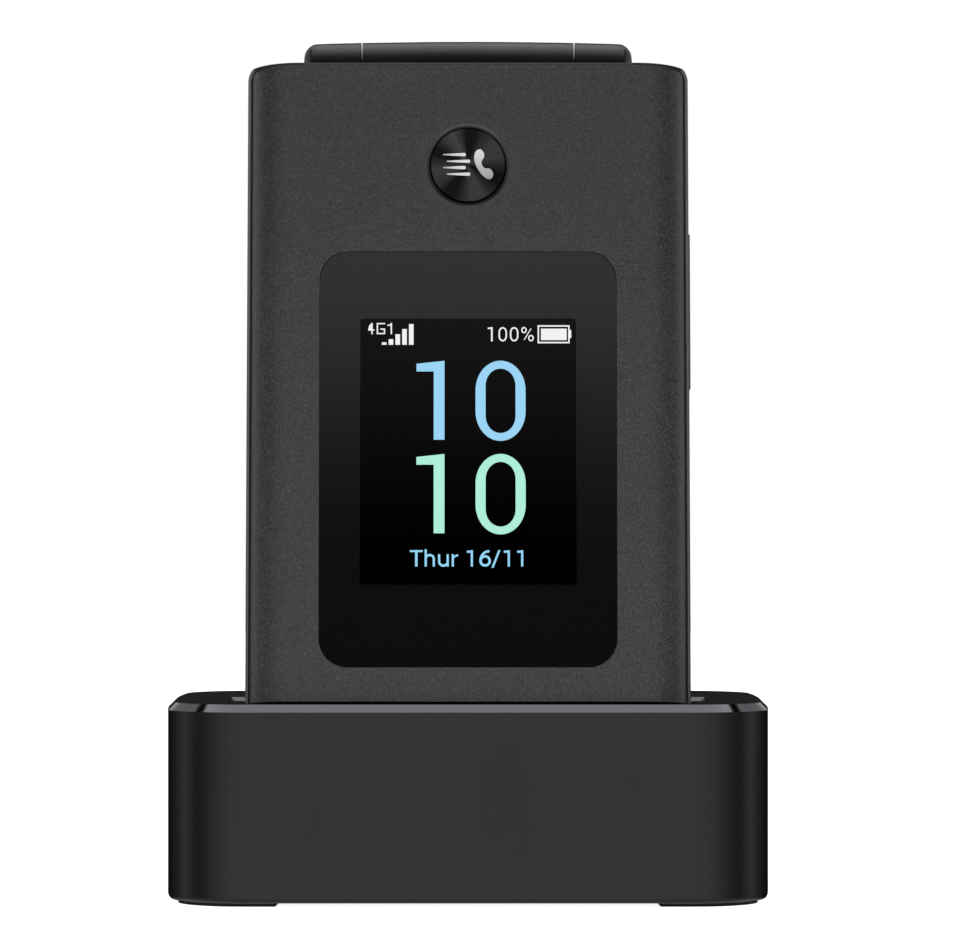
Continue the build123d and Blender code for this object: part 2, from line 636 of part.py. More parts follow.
# ---- Keys -----------------------------------------------------------------------------------
flange_y = (deck_in + FLANGE_PLAY, deck_in + FLANGE_PLAY + FLANGE_T)
cap_y = (KEY_TOP_Y, flange_y[1])
dome_sheet_y = BASE_BOARD_Y - DOME_SHEET_T
dome_top_y = dome_sheet_y - DOME_H
plunger_y = (flange_y[1] - SEAT, dome_top_y - KEY_TRAVEL - PLUNGER_PLAY)
for name, (x, z, w, h) in keys.items():
    cap = panel(w, around(z, h), cap_y, KEY_R, x)
    cap = chamfer(cap.faces().sort_by(Axis.Y)[0].edges(), CAP_BEVEL)
    flange_z = around(z, h + 2 * KEY_FLANGE)
    cap += panel(w + 2 * KEY_FLANGE, flange_z, flange_y, KEY_R + KEY_FLANGE, x)
    phone_node(name, cap + rod_y(PLUNGER_R, x, plunger_y, z))

ok_flange_r = OK_R + OK_FLANGE
nav = rod_y(NAV_R, 0, cap_y, NAV_Z)
nav = chamfer(nav.edges().sort_by(Axis.Y)[0], NAV_BEVEL)
nav += rod_y(NAV_R + KEY_FLANGE, 0, flange_y, NAV_Z)
nav -= rod_y(NAV_HOLE_R, 0, grown(cap_y, PAST), NAV_Z)
ok_room_y = (flange_y[0] - KEY_TRAVEL - 2 * SEAT, flange_y[1] + PAST)
nav -= rod_y(ok_flange_r + OK_PLAY, 0, ok_room_y, NAV_Z)
for dx, dz in NAV_PRESSES:
    nav += rod_y(NAV_PLUNGER_R, dx, plunger_y, NAV_Z + dz)
phone_node("nav_ring", nav)
ok_key = rod_y(OK_R, 0, cap_y, NAV_Z)
ok_key = chamfer(ok_key.edges().sort_by(Axis.Y)[0], NAV_BEVEL)
ok_key += rod_y(ok_flange_r, 0, flange_y, NAV_Z) + rod_y(PLUNGER_R, 0, plunger_y, NAV_Z)
phone_node("ok_key", ok_key)

# ---- Base: back shell and battery cover -----------------------------------------------------
back = panel(PHONE_W, (0, base_top), (HALF_SPLIT_Y, PHONE_D), BASE_CORNER)
back = fillet(back.faces().sort_by(Axis.Y)[-1].edges(), BACK_ROUND)
back_solid = back
back_in = PHONE_D - BACK_WALL
bay_half = BATTERY_W / 2 + BAY_PLAY
bay_z = grown(HATCH_Z, -BAY_MARGIN)
bay_floor_y = HALF_SPLIT_Y + BAY_FLOOR_T
hatch_floor_y = PHONE_D - HATCH_T - SEAT
hatch_half = half_w - HATCH_IN
cavity_half = half_w - BACK_SIDE_WALL
inside_y = (HALF_SPLIT_Y - PAST, back_in)
for z in ((WALL, HATCH_Z[0] - BAY_END_WALL), (HATCH_Z[1] + BAY_END_WALL, base_top - WALL)):
    back -= block((-cavity_half, cavity_half), inside_y, z)
beside_y = (HALF_SPLIT_Y - PAST, hatch_floor_y - BAY_WALL)
beside_z = grown(HATCH_Z, 2 * PAST)
back -= both_sides(lambda side: block(span(side, bay_half + BAY_WALL, cavity_half), beside_y, beside_z))
back -= block((-bay_half, bay_half), (bay_floor_y, PHONE_D + PAST), grown(bay_z, BAY_PLAY))
back -= panel(2 * hatch_half, HATCH_Z, (hatch_floor_y, PHONE_D + PAST), HATCH_CORNER)
for x, z in (SIM, TERMINALS):
    back -= block(grown(x, HOLDER_PLAY), (HALF_SPLIT_Y - PAST, PHONE_D), grown(z, HOLDER_PLAY))
seat_y = back_in - BASE_SCREW_SEAT
post_y = (HALF_SPLIT_Y, back_in + ROOT)
recess_y = (seat_y, PHONE_D + PAST)
shaft_y = (HALF_SPLIT_Y - PAST, PHONE_D)
back += four(base_screw_x, BASE_SCREW_Z, lambda x, z: rod_y(BACK_POST_R, x, post_y, z))
back -= four(base_screw_x, BASE_SCREW_Z, lambda x, z: rod_y(BASE_RECESS_R, x, recess_y, z))
back -= four(base_screw_x, BASE_SCREW_Z, lambda x, z: rod_y(PILOT_R + PILOT_PLAY, x, shaft_y, z))
window_in = PHONE_D - CAMERA_SINK - CAMERA_WINDOW_T
back -= rod_y(CAMERA_WINDOW_R + ROOT, 0, (window_in, PHONE_D + PAST), CAMERA_Z)
back -= rod_y(CAMERA_R + CAMERA_PLAY, 0, (back_in - PAST, PHONE_D), CAMERA_Z)
speaker_x = half_w - SPEAKER_IN
slot_z = around(CAMERA_Z, SPEAKER_SLOT[1])
for slot in range(-2, 3):
    x = speaker_x + slot * SPEAKER_PITCH
    slot_y = (back_in - PAST, PHONE_D + PAST)
    back -= panel(SPEAKER_SLOT[0], slot_z, slot_y, SPEAKER_SLOT[0] * ROUND_END, x)
phone_node("rear_housing", back)

battery_cover = back_solid & panel(
    2 * (hatch_half - SEAM),
    grown(HATCH_Z, -SEAM),
    (PHONE_D - HATCH_T, PHONE_D + PAST),
    HATCH_CORNER - SEAM,
)
for groove in range(4):
    z = around(HATCH_Z[1] - GRIP_FROM - groove * GRIP_PITCH, GRIP_H)
    battery_cover -= panel(GRIP_W, z, (PHONE_D - GRIP_DEEP, PHONE_D + PAST), GRIP_H * ROUND_END)
phone_node("battery_cover", battery_cover)

# ---- Base: what it carries ------------------------------------------------------------------
battery_y = (bay_floor_y + ROOT, bay_floor_y + ROOT + BATTERY_T)
phone_node("battery", panel(BATTERY_W, bay_z, battery_y, BATTERY_R))
base_board_half = half_w - BASE_BOARD_IN
board_back = BASE_BOARD_Y + BOARD_T
base_board_z = (BASE_BOARD_LOW, base_top - BASE_BOARD_TOP)
board = block((-base_board_half, base_board_half), (BASE_BOARD_Y, board_back), base_board_z)
for x, z in BASE_CHIPS:
    board += block(x, (board_back, board_back + CHIP_T), z)
phone_node("main_circuit_board", board)
domes = block((-base_board_half, base_board_half), (dome_sheet_y, BASE_BOARD_Y), DOME_SHEET_Z)
dome_at = [(x, z) for x, z, w, h in keys.values()] + [(0, NAV_Z)]
dome_at += [(dx, NAV_Z + dz) for dx, dz in NAV_PRESSES]
for x, z in dome_at:
    domes += rod_y(KEY_DOME_R, x, (dome_top_y, dome_sheet_y + SEAT), z)
phone_node("key_dome_sheet", domes)
for name, (x, z), depth in (("sim_holder", SIM, SIM_T), ("battery_contacts", TERMINALS, TERMINALS_T)):
    phone_node(name, block(x, (board_back + SEAT, board_back + SEAT + depth), z))
camera = block(around(0, CAMERA_W), (CAMERA_FRONT_Y, back_in), around(CAMERA_Z, CAMERA_W))
phone_node("rear_camera", camera + rod_y(CAMERA_R, 0, (back_in, window_in - SEAT), CAMERA_Z))
phone_node("camera_window", rod_y(CAMERA_WINDOW_R, 0, (window_in, PHONE_D - CAMERA_SINK), CAMERA_Z))
speaker_y = (back_in - SPEAKER_T, back_in)
phone_node("loudspeaker", block(around(speaker_x, SPEAKER_W), speaker_y, around(CAMERA_Z, SPEAKER_H)))
motor_x = span(-1, half_w - MOTOR_IN - MOTOR_L, half_w - MOTOR_IN)
phone_node("vibration_motor", rod_x(MOTOR_R, motor_x, MOTOR_Y, MOTOR_Z))
antenna_x = (half_w - ANTENNA_IN - ANTENNA_W, half_w - ANTENNA_IN)
antenna_z = (WALL + HOLDER_PLAY, CHIN_H - WALL - HOLDER_PLAY)
phone_node("antenna", block(antenna_x, ANTENNA_Y, antenna_z))


def usb_c(x, height, length):
    """USB-C receptacle, its mouth at length = (inner end, mouth), as (shell, room, tongue)."""
    middle = (height[0] + height[1]) / 2
    room = (grown(x, -USB_SHELL), grown(height, -USB_SHELL), (length[0] + USB_BACK, length[1] + PAST))
    tongue = (
        grown(x, -USB_TONGUE_IN),
        around(middle, USB_TONGUE_T),
        (length[0] + USB_TONGUE_SINK, length[1] - 2 * USB_SINK),
    )
    return (x, height, length), room, tongue


def mouth_down(part):
    """Turns a receptacle part so that its mouth looks down at z = 0."""
    x, height, length = part
    return block(x, height, (-length[1], -length[0]))


def mouth_back(part):
    """Turns a receptacle part so that its mouth looks to the back."""
    x, height, length = part
    return block(x, length, height)


usb_shell, usb_room, usb_tongue = usb_c(usb_x, usb_y, (-USB_L, -HOLDER_PLAY))
phone_node("usb_socket", mouth_down(usb_shell) - mouth_down(usb_room) + mouth_down(usb_tongue))


def base_screw(x, z):
    head = rod_y(BASE_HEAD_R, x, (seat_y, seat_y + BASE_HEAD_T), z)
    return head + rod_y(PILOT_R, x, (pilot_y[0], seat_y), z)


phone_node("base_screws", four(base_screw_x, BASE_SCREW_Z, base_screw))
pin_inner = KNUCKLE_HALF - PIN_REACH + HOLDER_PLAY
pin_outer = BARREL_HALF - PIN_BLIND
phone_node(
    "hinge_pins", both_sides(lambda side: rod_x(PIN_R, span(side, pin_inner, pin_outer), AXIS_Y, axis_z))
)
flange_out = inner_half - ROCKER_SWING
flange_in = flange_out - ROCKER_FLANGE_T
rocker = block((flange_out, half_w + ROCKER_PROUD), ROCKER_Y, ROCKER_Z)
rocker = chamfer(rocker.faces().sort_by(Axis.X)[-1].edges(), EDGE_BEVEL)
rocker += block((flange_in, flange_out), ROCKER_Y, grown(ROCKER_Z, ROCKER_FLANGE))
phone_node("volume_rocker", rocker)
switch_top = flange_in - SWITCH_GAP
strip_top = switch_top - SWITCH_T
switches = block((strip_top - SWITCH_STRIP_T, strip_top), ROCKER_Y, grown(ROCKER_Z, -PAST))
rocker_mid = (ROCKER_Z[0] + ROCKER_Z[1]) / 2
for dz in (-SWITCH_REACH, SWITCH_REACH):
    switches += block((strip_top - SEAT, switch_top), ROCKER_Y, around(rocker_mid + dz, SWITCH_W))
phone_node("side_key_switches", switches)

# ---- Cradle shell ---------------------------------------------------------------------------


def bowed_tray(width, depth, radius, z):
    """Flat plate with rounded corners whose two ends are slightly bowed out."""
    end, half_d = width / 2 + DOCK_BOW, depth / 2
    straight = half_d - radius
    bend = (straight**2 + DOCK_BOW**2) / (2 * DOCK_BOW)
    corner = end - bend + sqrt(bend**2 - half_d**2)
    outline = (
        Line((-corner, -half_d), (corner, -half_d))
        + ThreePointArc((corner, -half_d), (end, 0), (corner, half_d))
        + Line((corner, half_d), (-corner, half_d))
        + ThreePointArc((-corner, half_d), (-end, 0), (-corner, -half_d))
    )
    face = make_face(outline)
    face = fillet(face.vertices(), radius)
    return Pos(0, 0, z[0]) * extrude(face, z[1] - z[0])


shell = bowed_tray(DOCK_W, DOCK_D, DOCK_CORNER, (FOOT_LIFT, DOCK_H))
shell = chamfer(shell.faces().sort_by(Axis.Z)[-1].edges(), DOCK_BEVEL)
shell = fillet(shell.faces().sort_by(Axis.Z)[0].edges(), DOCK_FOOT_ROUND)
shell_solid = shell
inside_z = (plate_top - PAST, DOCK_H - DOCK_WALL)
shell -= tray(DOCK_W - 2 * DOCK_WALL, DOCK_D - 2 * DOCK_WALL, DOCK_CORNER - DOCK_WALL, inside_z)
plate_cut = 2 * (PLATE_INSET - SEAT)
plate_r = DOCK_CORNER - PLATE_INSET
shell -= tray(DOCK_W - plate_cut, DOCK_D - plate_cut, plate_r, (FOOT_LIFT - PAST, plate_top))
well_back = PHONE_D + POCKET_FRONT
well_half = pocket_half + POCKET_T
floor_low = -SEAT - POCKET_T
well_y = (-POCKET_FRONT - POCKET_T, well_back + POCKET_T)
shell += docked * block((-well_half, well_half), well_y, (floor_low, above)) & shell_solid
ceiling_z = DOCK_H - DOCK_WALL / 2
screw_spots = [
    (x * (DOCK_W / 2 - DOCK_SCREW_IN[0]), y * (DOCK_D / 2 - DOCK_SCREW_IN[1]))
    for x in (1, -1)
    for y in (1, -1)
]
for x, y in screw_spots:
    shell += rod_z(DOCK_POST_R, x, y, (plate_top, ceiling_z))
    shell -= rod_z(DOCK_PILOT_R, x, y, (plate_top - PAST, DOCK_SCREW_TOP + DOCK_SCREW_PLAY))
shell -= docked * block((-pocket_half, pocket_half), (-POCKET_FRONT, well_back), (-SEAT, above))
bevel_z = DOCK_H - POCKET_BEVEL
mouth = (
    phone_y + wall_y_shift(-POCKET_FRONT, bevel_z),
    phone_y + wall_y_shift(well_back, bevel_z),
)
mouth_face = Rectangle(2 * pocket_half, mouth[1] - mouth[0])
shell -= Pos(0, (mouth[0] + mouth[1]) / 2, bevel_z) * extrude(mouth_face, 2 * POCKET_BEVEL, taper=-45)


def guide(side):
    """Wall beside the phone's front half that centres it, flush with the rim."""
    across = span(side, half_w + GUIDE_GAP, pocket_half + 2 * POCKET_BEVEL)
    along = (-POCKET_FRONT - 2 * POCKET_BEVEL, GUIDE_BACK)
    return docked * block(across, along, (-SEAT - ROOT, above)) & shell_solid


shell += both_sides(guide)
pin_hole_r = CONTACT_R + RUN
pin_hole_z = (floor_low - PAST, PAST)
shell -= docked * both_sides(lambda side: rod_z(pin_hole_r, side * PAD_X, PAD_Y, pin_hole_z))
board_low = plate_top + DOCK_BOARD_LIFT
board_top = board_low + BOARD_T
inlet_x = around(0, USB_W)
inlet_z = (board_top, board_top + USB_T)
inlet_hole_y = around(DOCK_D / 2 - DOCK_WALL / 2, 2 * DOCK_WALL)
shell -= block(grown(inlet_x, SEAM), inlet_hole_y, grown(inlet_z, SEAM))
well_rear_y = phone_y + wall_y_shift(well_y[1], DOCK_H)
dock_screw_x = screw_spots[0][0]
weight_x = (DOCK_BOARD_W / 2 + WEIGHT_FROM, dock_screw_x - DOCK_POST_R - WEIGHT_SIDE)
weight_y = (well_rear_y + WEIGHT_BACK, DOCK_D / 2 - DOCK_WALL - WEIGHT_MARGIN)
weight_z = (plate_top, plate_top + WEIGHT_H)
rib_x = around((weight_x[0] + weight_x[1]) / 2, WEIGHT_RIB[0])
rib_y = around((weight_y[0] + weight_y[1]) / 2, WEIGHT_RIB[1])
shell += both_sides(lambda side: block(span(side, *rib_x), rib_y, (weight_z[1], ceiling_z)))
nodes["dock_shell"] = shell
nodes["dock_weight"] = both_sides(lambda side: block(span(side, *weight_x), weight_y, weight_z))

# ---- Cradle: base plate, feet, electronics --------------------------------------------------
plate = tray(DOCK_W - 2 * PLATE_INSET, DOCK_D - 2 * PLATE_INSET, plate_r, (FOOT_LIFT, plate_top))
foot_top = FOOT_LIFT + FOOT_SINK
foot_inner = FOOT_INSET + FOOT_W
through_z = (-PAST, foot_top + PAST)


def inside_feet(play):
    """The middle of the plate, which the feet leave free."""
    inset = 2 * (foot_inner - play)
    return tray(DOCK_W - inset, DOCK_D - inset, DOCK_CORNER - foot_inner + play, through_z)


def foot_groove(side):
    """Recess under one end of the plate, open to the outside."""
    reach = span(side, FOOT_FROM - FOOT_PLAY, DOCK_W)
    return block(reach, (-DOCK_D, DOCK_D), (-PAST, foot_top))


plate -= both_sides(foot_groove) - inside_feet(0)


def foot(side):
    """Rubber strip round one end of the cradle, with bevelled inner ends."""
    face = Polyline(
        (side * FOOT_FROM, foot_top),
        (side * FOOT_FROM, FOOT_BEVEL),
        (side * (FOOT_FROM + FOOT_BEVEL), 0),
        (side * DOCK_W, 0),
        (side * DOCK_W, foot_top),
        close=True,
    )
    wedge = Pos(0, DOCK_D, 0) * Rot(90, 0, 0) * extrude(make_face(face), 2 * DOCK_D)
    foot_w = DOCK_W - 2 * FOOT_INSET
    foot_d = DOCK_D - 2 * FOOT_INSET
    ring = tray(foot_w, foot_d, DOCK_CORNER - FOOT_INSET, (0, foot_top))
    return (ring & wedge) - inside_feet(FOOT_PLAY)


nodes["dock_feet"] = both_sides(foot)
head_top = foot_top + FOOT_PLAY / 5 + DOCK_HEAD_T
screws = []
for x, y in screw_spots:
    plate -= rod_z(DOCK_HEAD_R + DOCK_HEAD_PLAY, x, y, (foot_top - ROOT, head_top))
    plate -= rod_z(DOCK_PILOT_R + SEAM, x, y, (foot_top, plate_top + PAST))
    screw = rod_z(DOCK_HEAD_R, x, y, (head_top - DOCK_HEAD_T, head_top))
    screws.append(screw + rod_z(DOCK_PILOT_R, x, y, (head_top - ROOT, DOCK_SCREW_TOP)))
nodes["dock_screws"] = screws[0] + screws[1] + screws[2] + screws[3]
board_y = (phone_y + DOCK_BOARD_FROM, DOCK_D / 2 - DOCK_WALL - ROOT)
board_mid_y = (board_y[0] + board_y[1]) / 2
standoff_x = DOCK_BOARD_W / 2 - STANDOFF_IN[0]
for y in (board_y[0] + STANDOFF_IN[1], board_mid_y, board_y[1] - STANDOFF_IN[1]):
    plate += both_sides(lambda side: rod_z(STANDOFF_R, side * standoff_x, y, (foot_top, board_low)))
nodes["dock_base_plate"] = plate
dock_board = block(around(0, DOCK_BOARD_W), board_y, (board_low, board_top))
dock_board += block(
    around(DOCK_CHIP_X, DOCK_CHIP_W),
    around(well_rear_y + DOCK_CHIP_BACK, DOCK_CHIP_W),
    (board_top, board_top + DOCK_CHIP_T),
)
nodes["dock_circuit_board"] = dock_board
inlet_y = (DOCK_D / 2 - USB_SINK - USB_L, DOCK_D / 2 - USB_SINK)
inlet_shell, inlet_room, inlet_tongue = usb_c(inlet_x, inlet_z, inlet_y)
nodes["dock_usb_socket"] = mouth_back(inlet_shell) - mouth_back(inlet_room) + mouth_back(inlet_tongue)

# ---- Cradle: sprung contacts under the phone ------------------------------------------------
flange_z = (floor_low - SEAT - CONTACT_FLANGE_T, floor_low - SEAT)
holder = docked * block(around(0, PIN_HOLDER_W), around(PAD_Y, PIN_HOLDER_D), (-phone_z, floor_low))
holder = holder & block(around(0, DOCK_W), (-DOCK_D, DOCK_D), (board_top, DOCK_H))
pin_room_z = (flange_z[0] - CONTACT_TRAVEL - SEAT, 0)
pin_room_r = CONTACT_FLANGE_R + RUN
holder -= docked * both_sides(lambda side: rod_z(pin_room_r, side * PAD_X, PAD_Y, pin_room_z))
nodes["dock_pin_holder"] = holder


def contact(side):
    """Round-nosed sprung contact pin, held under the pocket floor by its flange."""
    nose = rod_z(CONTACT_R, side * PAD_X, PAD_Y, (flange_z[0], -CONTACT_PLAY))
    nose = fillet(nose.edges().sort_by(Axis.Z)[-1], CAP_BEVEL)
    return nose + rod_z(CONTACT_FLANGE_R, side * PAD_X, PAD_Y, flange_z)


nodes["contact_pins"] = docked * both_sides(contact)

os.makedirs("parts", exist_ok=True)
for name, shape in nodes.items():
    export_step(shape, "parts/" + name + ".step")
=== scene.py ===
import json
import math

import bmesh
import bpy
from bpy.props import FloatProperty, FloatVectorProperty, PointerProperty
from mathutils import Matrix, Vector


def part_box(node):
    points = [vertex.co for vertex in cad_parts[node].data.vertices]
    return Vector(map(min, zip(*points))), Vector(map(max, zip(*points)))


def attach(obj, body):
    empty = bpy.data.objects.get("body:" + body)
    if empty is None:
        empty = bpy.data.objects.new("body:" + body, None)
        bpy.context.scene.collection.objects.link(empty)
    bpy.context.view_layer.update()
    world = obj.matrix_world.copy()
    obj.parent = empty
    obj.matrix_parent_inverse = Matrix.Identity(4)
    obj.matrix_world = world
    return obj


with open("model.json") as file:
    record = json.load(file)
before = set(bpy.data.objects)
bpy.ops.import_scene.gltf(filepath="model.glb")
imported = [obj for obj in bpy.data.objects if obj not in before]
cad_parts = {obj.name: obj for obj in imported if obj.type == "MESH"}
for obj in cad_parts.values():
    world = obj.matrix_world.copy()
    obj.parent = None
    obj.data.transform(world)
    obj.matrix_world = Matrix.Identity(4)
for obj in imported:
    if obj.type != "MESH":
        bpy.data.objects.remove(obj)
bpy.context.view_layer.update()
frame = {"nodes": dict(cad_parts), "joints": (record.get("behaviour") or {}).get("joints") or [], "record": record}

bl_info = {
    "name": "Flip phone in its charging cradle",
    "version": (1, 0, 0),
    "blender": (4, 5, 0),
    "location": "3D View > Sidebar > Flip phone",
    "description": "Dresses the CAD model of a flip phone in its cradle: finishes, screen and legends",
    "category": "Object",
}

# The phone is drawn upright in its own frame, in millimetres, and leans back in the cradle:
# x to the right, y to the back with 0 on the lid's face, z up with 0 under the foot.
JOINTS = {joint["name"]: joint for joint in frame["joints"]}
LEAN = math.atan2(JOINTS["phone_lift"]["axis"][1], JOINTS["phone_lift"]["axis"][2])
HINGE_IN_PHONE = Vector((0.0, 6.6, 98.5))
MM = Matrix.Scale(0.001, 4)
PHONE = (
    Matrix.Translation(JOINTS["lid_hinge"]["pos_m"])
    @ Matrix.Rotation(-LEAN, 4, "X")
    @ MM
    @ Matrix.Translation(-HINGE_IN_PHONE)
)
COVER_TOP = 99.38  # top edge of the lid's painted cover
LIP_DEPTH = 1.38  # the frame's front lip lies nearer to the lid's face than this
BARREL_END = 21.2  # just past the ends of the hinge barrel
DISH_RADIUS = 5.36  # dish round the button
RIM_RADIUS = 4.71  # radius past which the button is drawn darker: painted shade at its edge beside the gap round it
PRINTED = 0.03  # thickness of printed marks, half of it proud
LIT = 0.05  # thickness of the outer screen's lit shapes, half of it proud
FONT_CAPITAL = 0.682  # height of a capital at a font size of 1
STANDING = Matrix.Rotation(math.pi / 2, 4, "X")
FACING_BACK = Matrix.Rotation(math.pi, 4, "Z") @ STANDING


def srgb(red, green, blue):
    """A colour given as 0-255 screen values, as linear red, green, blue and alpha."""
    linear = []
    for value in (red, green, blue):
        value /= 255
        linear.append(value / 12.92 if value <= 0.04045 else ((value + 0.055) / 1.055) ** 2.4)
    return (*linear, 1.0)


def grey(value):
    return srgb(value, value, value)


def rgba(value):
    return (*value, 1.0)


def phone_box(node):
    """Lowest and highest corner of a CAD node in the phone's own frame, in millimetres."""
    back = PHONE.inverted()
    points = [back @ vertex.co for vertex in frame["nodes"][node].data.vertices]
    low = Vector(min(point[axis] for point in points) for axis in range(3))
    high = Vector(max(point[axis] for point in points) for axis in range(3))
    return low, high


# ---- Sizes and colours a user would change ---------------------------------------------------
def colour(name, description, default):
    return FloatVectorProperty(
        name=name, description=description, default=default[:3], subtype="COLOR", size=3, min=0, max=1
    )


def millimetres(name, description, default):
    return FloatProperty(name=name, description=description, default=default, min=0.0, precision=3)


def factor(name, description, default, highest=1.0):
    return FloatProperty(
        name=name, description=description, default=default, min=0.0, max=highest, subtype="FACTOR"
    )


def brightness(name, description, default):
    return FloatProperty(name=name, description=description, default=default)


def power(name, description, default):
    return FloatProperty(name=name, description=description, default=default, unit="POWER")


class FlipPhoneStage(bpy.types.PropertyGroup):
    floor_size: FloatProperty(
        name="Floor size", description="Side of the square floor", default=2.4, unit="LENGTH"
    )
    ambient: factor("Ambient", "Even light from all round", 0.55, 2.0)
    key_power: power("Key light", "Power of the large lamp above the front", 9.0)
    fill_power: power("Fill lights", "Power of each side lamp", 2.2)
    overhead: brightness("Overhead panel", "Brightness of the panel overhead", 1.28)
    front_panel: brightness("Front panel", "Brightness of the panel in front", 0.69)
    low_front: brightness("Low front", "Brightness in front near the floor", 0.95)
    side_strip: brightness("Side strips", "Brightness of the strips beside", 0.9)


class FlipPhoneFinishes(bpy.types.PropertyGroup):
    lid_paint: colour("Lid paint", "Metallic charcoal of the lid", srgb(31, 33, 37))
    fleck: colour("Flecks", "Bright flecks in the lid paint", grey(104))
    fleck_size: millimetres("Fleck size", "Size of one fleck, in millimetres", 0.088)
    edge_paint: colour("Edge paint", "Satin grey along the lid's edges", grey(78))
    frame: colour("Lid frame", "Black plastic inside the lid and round the hinge", grey(12))
    housing: colour("Keypad housing", "Black plastic of the base", grey(11))
    back: colour("Back shell", "Black plastic of the back", grey(22))
    cradle: colour("Cradle", "Black plastic of the cradle", srgb(14, 14, 15))
    # painted highlight: the cradle's bevel is drawn pale metallic grey for the overhead light it reflects
    cradle_edge: colour("Cradle edge", "Polished bevel round the cradle's rim", srgb(150, 150, 156))
    keys: colour("Keys", "Plastic of the keys", grey(46))
    grain_size: millimetres("Grain size", "Size of the moulded grain, in millimetres", 0.35)


class FlipPhoneScreen(bpy.types.PropertyGroup):
    hours: colour("Hours", "Colour of the upper digits", srgb(155, 212, 245))
    minutes: colour("Minutes", "Colour of the lower digits", srgb(174, 238, 218))
    day: colour("Date", "Colour of the date", srgb(150, 214, 246))
    status: colour("Status", "Colour of the status line", grey(242))
    digit_height: millimetres("Digit height", "Height of the large digits, in millimetres", 10.28)
    digit_stroke: millimetres("Digit stroke", "Stroke of the large digits, in millimetres", 1.28)


class FlipPhoneButton(bpy.types.PropertyGroup):
    mark: colour("Mark", "Silver of the pictogram", grey(205))
    mark_height: millimetres("Mark height", "How far the pictogram stands proud, in millimetres", 0.04)


class FlipPhoneKeypad(bpy.types.PropertyGroup):
    legend: colour("Legends", "Print on the keys", grey(225))
    digit_height: millimetres("Digit height", "Height of the digits, in millimetres", 3.5)
    letter_height: millimetres("Letter height", "Height of the letters, in millimetres", 1.5)
    call: colour("Call", "Print on the call key", srgb(40, 190, 90))
    end: colour("End", "Print on the end key", srgb(225, 55, 50))


class FlipPhoneDetails(bpy.types.PropertyGroup):
    ring: colour("Trim rings", "Metal of the camera ring", grey(150))
    mesh: colour("Mesh", "Fabric behind the sound slots", grey(14))


# ---- Meshes ----------------------------------------------------------------------------------
def in_scene(name, data):
    """A new object, linked to the scene."""
    made = bpy.data.objects.new(name, data)
    bpy.context.scene.collection.objects.link(made)
    return made


def closed_mesh(name, curve, place):
    """Turns a filled curve into a closed mesh laid out by place."""
    holder = in_scene(name + "_outline", curve)
    bpy.context.view_layer.update()
    mesh = bpy.data.meshes.new_from_object(holder.evaluated_get(bpy.context.evaluated_depsgraph_get()))
    bpy.data.objects.remove(holder)
    bpy.data.curves.remove(curve)
    shape = bmesh.new()
    shape.from_mesh(mesh)
    bmesh.ops.remove_doubles(shape, verts=shape.verts, dist=1e-4)
    bmesh.ops.dissolve_degenerate(shape, dist=1e-5, edges=shape.edges)
    bmesh.ops.transform(shape, matrix=place, verts=shape.verts)
    bmesh.ops.recalc_face_normals(shape, faces=shape.faces)
    open_edges = [edge for edge in shape.edges if len(edge.link_faces) != 2]
    shape.to_mesh(mesh)
    shape.free()
    if open_edges:
        raise RuntimeError(f"{name} has {len(open_edges)} open edges")
    mesh.name = name
    return mesh


def piece(name, mesh, body, material):
    """A piece of the object made from a mesh, riding on a body."""
    made = in_scene(name, mesh)
    mesh.materials.clear()
    mesh.materials.append(material)
    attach(made, body)
    return made


def outline_curve(name, loops, thick, smooth=False):
    """A flat filled curve from outer and inner loops of (across, up) points in millimetres."""
    curve = bpy.data.curves.new(name, "CURVE")
    curve.dimensions = "2D"
    curve.fill_mode = "BOTH"
    curve.extrude = thick / 2
    curve.resolution_u = 10
    for loop in loops:
        spline = curve.splines.new("BEZIER" if smooth else "POLY")
        points = spline.bezier_points if smooth else spline.points
        points.add(len(loop) - 1)
        for point, (across, up) in zip(points, loop):
            point.co = (across, up, 0) if smooth else (across, up, 0, 1)
            if smooth:
                point.handle_left_type = point.handle_right_type = "AUTO"
        spline.use_cyclic_u = True
    return curve


def flat_piece(name, loops, thick, place, body, material, smooth=False):
    """A thin flat piece cut to the loops."""
    mesh = closed_mesh(name, outline_curve(name, loops, thick, smooth), place)
    return piece(name, mesh, body, material)


def at_front(x, y, z):
    """Lays a drawing on a face that looks forward; it stands half its thickness proud of y."""
    return PHONE @ Matrix.Translation((x, y, z)) @ STANDING


def at_back(x, y, z):
    return PHONE @ Matrix.Translation((x, y, z)) @ FACING_BACK


def arc(cx, cy, rx, ry, start, stop, steps=20):
    """Points on an elliptical arc, angles in degrees."""
    points = []
    for step in range(steps + 1):
        angle = math.radians(start + (stop - start) * step / steps)
        points.append((cx + rx * math.cos(angle), cy + ry * math.sin(angle)))
    return points


def circle(cx, cy, radius, steps=64):
    return arc(cx, cy, radius, radius, 0, 360 - 360 / steps, steps - 1)


def box(left, right, low, high):
    return [(left, low), (right, low), (right, high), (left, high)]


def plus_sign(reach, half):
    """A plus, from how far its arms reach and half their width."""
    corner = [(-reach, -half), (-half, -half), (-half, -reach)]
    loop = []
    for _ in range(4):
        loop += corner
        corner = [(-up, across) for across, up in corner]
    return loop


def rounded(left, right, low, high, rx, ry=None, steps=12):
    """A rectangle with elliptical corners."""
    ry = rx if ry is None else ry
    return (
        arc(right - rx, low + ry, rx, ry, -90, 0, steps)
        + arc(right - rx, high - ry, rx, ry, 0, 90, steps)
        + arc(left + rx, high - ry, rx, ry, 90, 180, steps)
        + arc(left + rx, low + ry, rx, ry, 180, 270, steps)
    )


def figure_one(width, stroke, tall, flag):
    """A 1 whose flag leaves the top of the stem almost level."""
    stem = width - stroke
    high = 0.962 * tall
    low = high - flag
    return [(stem, 0), (width, 0), (width, tall), (0, high), (0, low), (stem, low)]


